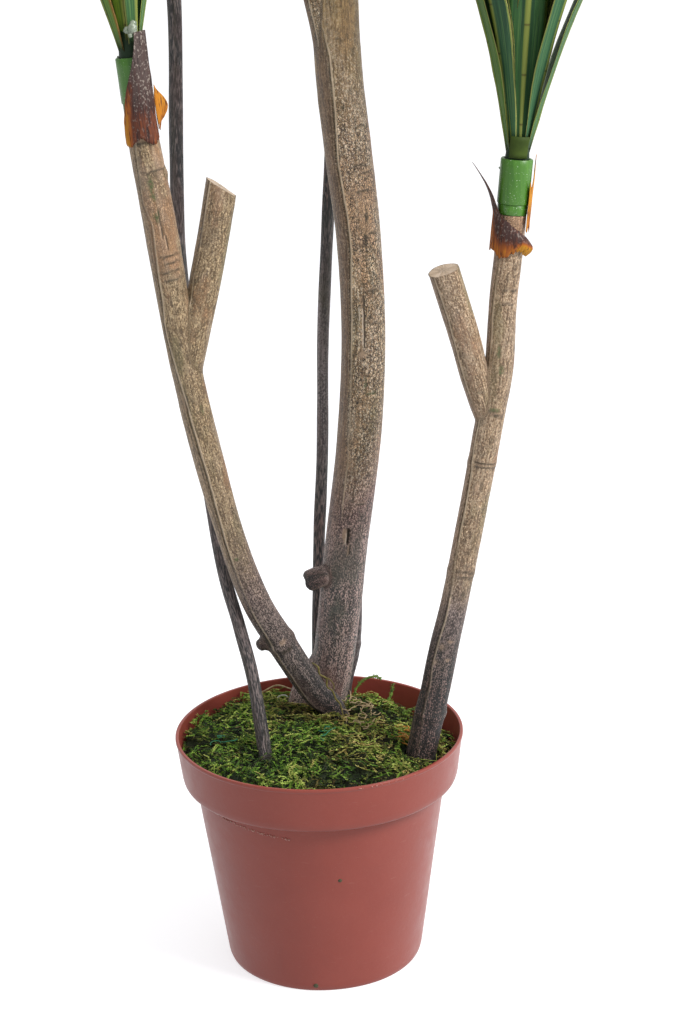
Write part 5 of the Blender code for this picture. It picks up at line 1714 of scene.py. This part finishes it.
def moss_dryness(x, y):
    """How brown the moss is: green at the front left, and browner at the back and right."""
    return np.clip(0.32 + 3.4 * x + 1.8 * y + 0.50 * flat_noise(x, y, 45.0, 5), 0.0, 1.0)


def moss_clumps(x, y):
    """Small tufts, from -1 between them to 1 on them."""
    return 0.75 * flat_noise(x, y, 115.0, 6) + 0.25 * flat_noise(x, y, 300.0, 7)


def moss_mounds(x, y):
    """Broad mounds, from -1 in the hollows between them to 1 on them."""
    return np.tanh(2.2 * flat_noise(x, y, 50.0, 8))


def moss_heap(x, y):
    """How far the loose heap stands above the mat."""
    middle_x, middle_y, reach, height = MOSS_HEAP
    return height * np.exp(-((x - middle_x) ** 2 + (y - middle_y) ** 2) / reach ** 2)


def mat_height(x, y):
    """Top of the mat that the strands stand on."""
    fine = noise.noise(Vector((x, y, 0.9)) * 260.0)
    hollow = MAT_HOLLOW * min(0.0, float(moss_mounds(x, y)))
    return moss_height(x, y) - MAT_DROP + 0.0010 * fine + hollow + MAT_HEAP * moss_heap(x, y)


def foot_routes():
    """Routes of everything that stands in the moss."""
    routes = [row[1] for row in POLES + STEMS]
    return routes + [FLARE_CENTRE, RIB_RIGHT]


def build_moss():
    material = moss_material("moss_fibre")
    under = POT_FILL + SEAT_GAP
    step_low = BODY_TOP - 0.001
    rings = [(pot_inner_radius(under) - FIT_GAP, under), (pot_inner_radius(step_low) - FIT_GAP, step_low),
             (BODY_RADIUS - FIT_GAP, BAND_LOW + 0.001),
             (band_inner_radius(MOSS_SHOULDER) - FIT_GAP, MOSS_SHOULDER)]
    rim = band_inner_radius(MOSS_EDGE) - FIT_GAP
    rings += [(rim * share, 0.0) for share in np.linspace(1.0, 0.02, MOSS_RINGS)]
    rows = [(x, y, height or mat_height(x, y)) for x, y, height in revolved(rings, MOSS_STEPS)]
    rows = np.array(rows + [(0.0, 0.0, under), (0.0, 0.0, mat_height(0.0, 0.0))])
    # The mat carries the dark painted shade of MAT_SHADE.
    attributes = {"shade": np.full(len(rows), MAT_SHADE), "dry": moss_dryness(rows[:, 0], rows[:, 1])}
    mat = mesh_piece("moss_mat", rows, tube_faces(len(rings), MOSS_STEPS), material, attributes)
    join(mat, [mesh_piece(f"hole_{index}", *round_tube(route, HOLE_STEP, HOLE_SIDES, FIT_GAP), material)
               for index, route in enumerate(foot_routes())], "DIFFERENCE")
    keep(mat, "moss")
    for index, (name, loft) in enumerate(STRAND_LOFTS.items()):
        keep(build_strands(name, STRANDS, STRAND_SEED + index, loft, material), None)


def build_strands(name, count, seed, loft, material):
    """Feathery moss: curled stems with small leaflets; loft says how far they stand out of the mat."""
    draw = np.random.default_rng(seed)
    limit = band_inner_radius(STRAND_EDGE) - RIM_GAP
    reach = (limit - 0.001) * np.sqrt(draw.random(count))
    turn = draw.random(count) * math.tau
    place = np.stack((reach * np.cos(turn), reach * np.sin(turn), np.zeros(count)), axis=1)
    heading = draw.random(count) * math.tau
    climb = draw.uniform(*STRAND_CLIMB, count)
    flat = np.cos(climb)
    course = np.stack((np.cos(heading) * flat, np.sin(heading) * flat, np.sin(climb)), axis=1)
    axis = unit(draw.normal(size=(count, 3)))
    curl = draw.uniform(*STRAND_CURL, count)[:, None]
    length = draw.uniform(*STRAND_LENGTH, count)[:, None]
    path = [place]
    for _ in range(STRAND_POINTS - 1):
        path.append(path[-1] + course * length / (STRAND_POINTS - 1))
        course = (course * np.cos(curl) + np.cross(axis, course) * np.sin(curl)
                  + axis * np.sum(axis * course, axis=1)[:, None] * (1.0 - np.cos(curl)))
    path = clear_of_poles(np.stack(path, axis=1))
    away = np.hypot(path[..., 0], path[..., 1])
    path[..., :2] *= np.minimum(1.0, limit / np.maximum(away, 1e-6))[..., None]
    ground = np.array([moss_height(x, y) for x, y in path[..., :2].reshape(-1, 2)]).reshape(path.shape[:2])
    x, y = path[:, 0, 0], path[:, 0, 1]
    tuft = moss_clumps(x, y)
    swell = moss_mounds(x, y)
    level = loft + 0.0028 * tuft + np.where(swell > 0.0, 0.0018, 0.0042) * swell
    level += 0.0010 * draw.random(count) + moss_heap(x, y)
    path[..., 2] = ground + level[:, None] + 0.0030 * np.tanh(path[..., 2] / 0.004)
    tangent = unit(np.gradient(path, axis=1))
    side = unit(np.cross(tangent, (0.31, 0.17, 1.0)))
    lift = np.cross(side, tangent)
    thick = draw.uniform(*STRAND_THICK, count)[:, None] * np.linspace(1.0, 0.5, STRAND_POINTS)[None, :]
    corners = [path + (side * math.cos(angle) + lift * math.sin(angle)) * thick[..., None]
               for angle in (0.0, math.tau / 3, math.tau * 2 / 3)]
    stems = np.stack(corners, axis=2).reshape(-1, 3)
    faces = []

    def add_faces(first, stride, corner_rows):
        base = first + np.arange(count)[:, None] * stride
        for row in corner_rows:
            faces.extend((base + np.array(row)[None, :]).tolist())

    end = (STRAND_POINTS - 1) * 3
    quads = [(low + corner, low + 3 + corner, low + 3 + (corner + 1) % 3, low + (corner + 1) % 3)
             for low in range(0, end, 3) for corner in range(3)]
    add_faces(0, STRAND_POINTS * 3, quads + [(0, 1, 2), (end, end + 2, end + 1)])
    # Painted shade: strands on tufts and mounds are lighter and those in hollows darker, with a random tint
    # of their own besides.
    own = 0.42 + 0.36 * tuft + 0.17 * swell + draw.normal(0.0, 0.18, count)
    dryness = np.clip(moss_dryness(x, y) + draw.normal(0.0, 0.34, count), 0.0, 1.0)
    # Painted shade along each strand: darker at its foot, lighter towards its tip.
    stem_shade = own[:, None] + np.repeat(np.linspace(-0.30, 0.10, STRAND_POINTS), 3)[None, :]
    leaflets, leaflet_shade = [], []
    for number in range(LEAFLETS):
        at = 1 + number % (STRAND_POINTS - 1)
        out = 1.0 if number % 2 else -1.0
        bend = draw.uniform(-0.5, 0.5, count)[:, None]
        far = draw.uniform(*LEAFLET_REACH, count)[:, None]
        start = path[:, at]
        aim = unit(side[:, at] * out * 0.75 + lift[:, at] * (0.2 + 0.6 * bend) + tangent[:, at])
        width = tangent[:, at] * 0.00060
        middle = start + aim * far * 0.35 + lift[:, at] * 0.00032 * 1.6
        leaflets += [start - width, start + width, middle, start + aim * far]
        # Painted shade: leaflets lighter towards their tips and higher up the strand.
        leaflet_shade += [own + rise + 0.06 * (at - 2) for rise in (-0.12, -0.12, 0.05, 0.20)]
    add_faces(len(stems), LEAFLETS * 4, [
        [number * 4 + corner for corner in row]
        for number in range(LEAFLETS) for row in ((0, 1, 2), (0, 2, 3), (1, 3, 2), (0, 3, 1))])
    vertices = np.concatenate((stems, np.stack(leaflets, axis=1).reshape(-1, 3)))
    shade = np.concatenate((stem_shade.ravel(), np.stack(leaflet_shade, axis=1).ravel()))
    dry = np.concatenate((np.repeat(dryness, STRAND_POINTS * 3), np.repeat(dryness, LEAFLETS * 4)))
    return mesh_piece(name, vertices, faces, material, {"shade": np.clip(shade, 0.0, 1.0), "dry": dry}, False)


def clear_of_poles(path):
    """Push the strands' points sideways out of the poles and stems."""
    for route in foot_routes():
        for point, radius in smooth_route(route, CLEAR_STEP):
            if not CLEAR_HEIGHTS[0] < point.z < CLEAR_HEIGHTS[1]:
                continue
            offset = path[..., :2] - np.array(point[:2])
            away = np.maximum(np.linalg.norm(offset, axis=-1), 1e-6)
            push = np.maximum(radius + CLEAR_GAP - away, 0.0)
            path[..., :2] += offset / away[..., None] * push[..., None]
    return path


def thread(route, step=THREAD_STEP):
    """A thin strand along a route."""
    return round_tube(route, step, THREAD_SIDES)


def tangle(middle, spread, count, radius, seed):
    """Loose curled threads that lie round a place on the moss."""
    chance = random.Random(seed)
    threads = []
    for _ in range(count):
        x, y, z = (place + chance.uniform(-1.0, 1.0) * half for place, half in zip(middle, spread))
        heading = chance.uniform(0.0, math.tau)
        route = []
        bend = chance.uniform(-1.2, 1.2)
        for _ in range(TANGLE_POINTS):
            route.append((x, y, z, radius * chance.uniform(0.6, 1.0)))
            x += TANGLE_STEP * math.cos(heading)
            y += TANGLE_STEP * math.sin(heading)
            z += chance.uniform(-0.0010, 0.0012)
            heading += bend + chance.uniform(-0.5, 0.5)
        threads.append(thread(route))
    return threads


def frond(route, seed):
    """A feathery strand of moss that stands up along a route, with short hairs on all its sides."""
    chance = random.Random(seed)
    threads = [thread(route)]
    points = [point for point, _ in smooth_route(route, FINE_THREAD_STEP)]
    for _ in range(FROND_HAIRS):
        root = chance.choice(points)
        aim = Vector([chance.gauss(0.0, 1.0) for _ in range(3)]).normalized() * FROND_HAIR
        threads.append(thread([(*(root + aim * share), radius)
                               for share, radius in ((0.0, 0.00045), (0.5, 0.00040), (1.0, 0.00015))]))
    return threads


def build_moss_extras():
    """Single dry twigs, curls, fronds and dyed strands that lie on the moss or stand out of it."""
    ring = [(-0.0292 + 0.0042 * math.cos(turn), 0.0715 + 0.0042 * math.sin(turn),
             0.1790 + 0.0012 * math.sin(turn), 0.00075) for turn in np.linspace(0.4, 5.6, 9)]
    dyed = (tangle((0.002, -0.017, 0.1870), (0.004, 0.010, 0.0010), 5, 0.00045, 6)
            + tangle((-0.072, -0.020, 0.1850), (0.005, 0.006, 0.0010), 3, 0.00045, 7))
    twigs = [thread(route) for route in TWIGS]
    twigs += tangle((0.032, 0.026, 0.1855), (0.012, 0.026, 0.0016), 26, 0.00042, 4)
    rust = tangle((0.0655, -0.014, 0.1825), (0.0045, 0.013, 0.0018), 20, 0.00070, 5)
    fronds = [piece for seed, route in enumerate(FRONDS) for piece in frond(route, seed)]
    fibres = [thread(route, FINE_THREAD_STEP) for route in FIBRES]
    rows = (
        ("moss_twigs", twigs, "straw", (0.30, 0.20, 0.10), (0.55, 0.42, 0.24), 500.0, 0.6),
        ("moss_rust", rust, "rust_strands", (0.30, 0.12, 0.015), (0.55, 0.25, 0.030), 500.0, 0.6),
        ("moss_curl", [thread(ring)], "pale_curl", (0.50, 0.48, 0.42), (0.68, 0.66, 0.60), 500.0, 0.6),
        ("moss_fibres", fibres, "olive_strands", (0.13, 0.10, 0.025), (0.27, 0.23, 0.060), 500.0, 0.7),
        ("moss_fronds", fronds, "moss_frond", (0.030, 0.055, 0.010), (0.190, 0.300, 0.040), 420.0, 0.6),
        ("moss_dyed", dyed, "dyed_strand", (0.006, 0.10, 0.045), (0.015, 0.20, 0.090), 500.0, 0.5),
    )
    for name, threads, *look in rows:
        keep(gathered(name, threads, plain_material(*look, 0.0003)), None)


def build_glue():
    """Glue and tape at the shown joints: a blob in the left head, a bead on its sleeve, a tape band."""
    glue = plain_material("glue", (0.150, 0.200, 0.130), (0.420, 0.460, 0.370), 420.0, 0.25, 0.0008)
    lumps = [pebble(place, size, index, stretch) for index, (place, size, stretch) in enumerate(GLUE_LUMPS)]
    keep(gathered("glue_blob", lumps, glue), None)
    keep(gathered("glue_bead", [thread(route) for route in GLUE_BEADS], glue), None)
    tape = plain_material("tape", (0.024, 0.042, 0.006), (0.052, 0.085, 0.012), 90.0, 0.60, 0.0, 0.15)
    place = head_frame(smooth_route(POLE_RIGHT, POLE_STEP), SEAT_GAP + SLEEVE_LENGTH)
    outer, inner = [], []
    for u, v in sheet_grid(*TAPE_GRID):
        angle = math.radians(-90.0 + TAPE_SPAN * u)
        height = TAPE_FOOT + TAPE_HEIGHT * v
        for store, reach in ((outer, TAPE_RADIUS), (inner, TAPE_RADIUS - TAPE_THICKNESS)):
            flat = reach + 0.0006 * math.cos(3.0 * angle) + 0.05 * height
            store.append((flat * math.cos(angle), flat * math.sin(angle), height))
    vertices, faces = closed_sheet(placed(place, outer), placed(place, inner), *TAPE_GRID)
    keep(mesh_piece("tape_band", vertices, faces, tape), None)


def sheet_grid(columns, rows):
    """Places on a sheet: u runs across it from -1 to 1, and v up it from 0 to 1."""
    return [(2.0 * column / columns - 1.0, row / rows)
            for row in range(rows + 1) for column in range(columns + 1)]


def closed_sheet(outer, inner, columns, rows):
    """Vertices and faces of a thin sheet between two grids of points."""
    width = columns + 1
    count = len(outer)
    faces = []
    for row in range(rows):
        for column in range(columns):
            a = row * width + column
            b = a + count
            faces += [(a, a + 1, a + 1 + width, a + width), (b, b + width, b + 1 + width, b + 1)]
    for column in range(columns):
        a, b = column, rows * width + column
        faces += [(a, a + count, a + count + 1, a + 1), (b, b + 1, b + count + 1, b + count)]
    for row in range(rows):
        a, b = row * width, row * width + columns
        faces += [(a, a + width, a + width + count, a + count), (b, b + count, b + width + count, b + width)]
    return outer + inner, faces


def build_filler():
    """The cast filler is only seen from below the moss's edge, and keeps its CAD form."""
    cement = plain_material("cast_filler", (0.33, 0.31, 0.28), (0.50, 0.48, 0.44), 240.0, 0.9, 0.0006)
    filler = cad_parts["filler"]
    filler.data.materials.clear()
    filler.data.materials.append(cement)


def area_light(name, place, target, size, watts, colour):
    data = bpy.data.lights.new(name, "AREA")
    data.shape = "DISK"
    data.size = size
    data.energy = watts
    data.color = colour
    light = bpy.data.objects.new(name, data)
    light.location = place
    light.rotation_euler = (Vector(target) - Vector(place)).to_track_quat("-Z", "Y").to_euler()
    bpy.context.scene.collection.objects.link(light)


def build_stage():
    """A white lit floor that runs to the horizon, a white surround and a large soft light from the right."""
    mesh = bpy.data.meshes.new("floor")
    reach = FLOOR_REACH
    mesh.from_pydata([(-reach, -reach, 0), (reach, -reach, 0), (reach, reach, 0), (-reach, reach, 0)],
                     [], [(0, 1, 2, 3)])
    paper = Surface("studio_floor")
    mesh.materials.append(paper.finish(FLOOR_COLOUR, 0.8, 0.0))
    shader = paper.tree.nodes["Principled BSDF"]
    put(shader.inputs["Emission Color"], (0.97, 0.98, 1.0))
    put(shader.inputs["Emission Strength"], FLOOR_GLOW)
    floor = bpy.data.objects.new("floor", mesh)
    floor.visible_diffuse = False
    bpy.context.scene.collection.objects.link(floor)
    world = bpy.data.worlds.new("studio")
    world.use_nodes = True
    background = world.node_tree.nodes["Background"]
    direction = node("ShaderNodeTexCoord", {}, "Generated", world.node_tree)
    lean = vector_maths("DOT_PRODUCT", direction, WORLD_LEAN, "Value")
    put(background.inputs["Color"], (1.0, 1.0, 1.0))
    put(background.inputs["Strength"], maths("MAXIMUM", lean + WORLD_LEVEL, WORLD_LEAST))
    bpy.context.scene.world = world
    area_light("key", KEY_PLACE, KEY_TARGET, KEY_SIZE, KEY_WATTS, KEY_COLOUR)
    bpy.context.scene.view_settings.view_transform = "Standard"


def build_camera():
    data = bpy.data.cameras.new("camera")
    data.sensor_fit = "AUTO"
    data.sensor_width = SENSOR
    data.lens = SENSOR * FOCAL_PIXELS / PHOTO_HEIGHT
    data.clip_end = CLIP_END
    camera = bpy.data.objects.new("camera", data)
    camera.matrix_world = (
        Matrix.Translation(CAMERA_PLACE)
        @ Matrix.Rotation(math.radians(90.0 - CAMERA_DOWN), 4, "X")
        @ Matrix.Rotation(math.radians(CAMERA_ROLL), 4, "Z"))
    bpy.context.scene.collection.objects.link(camera)
    bpy.context.scene.camera = camera


def main():
    build_pot()
    build_crumbs()
    for index, row in enumerate(POLES):
        build_pole(row[0], row[1], POLE_SEED * (index + 1))
    # Here the pale colour is only painted highlight on the stems' rib tops.
    stem_bark = bark_material("bark_stem", PALETTES["stem"], 0.0, (0.250, 0.190, 0.185), 20.0)
    for index, row in enumerate(STEMS):
        build_stem(row[0], row[1], STEM_SEEDS[0] + STEM_SEEDS[1] * index, stem_bark)
    build_heads()
    build_moss()
    build_moss_extras()
    build_glue()
    build_filler()
    build_stage()
    build_camera()


main()
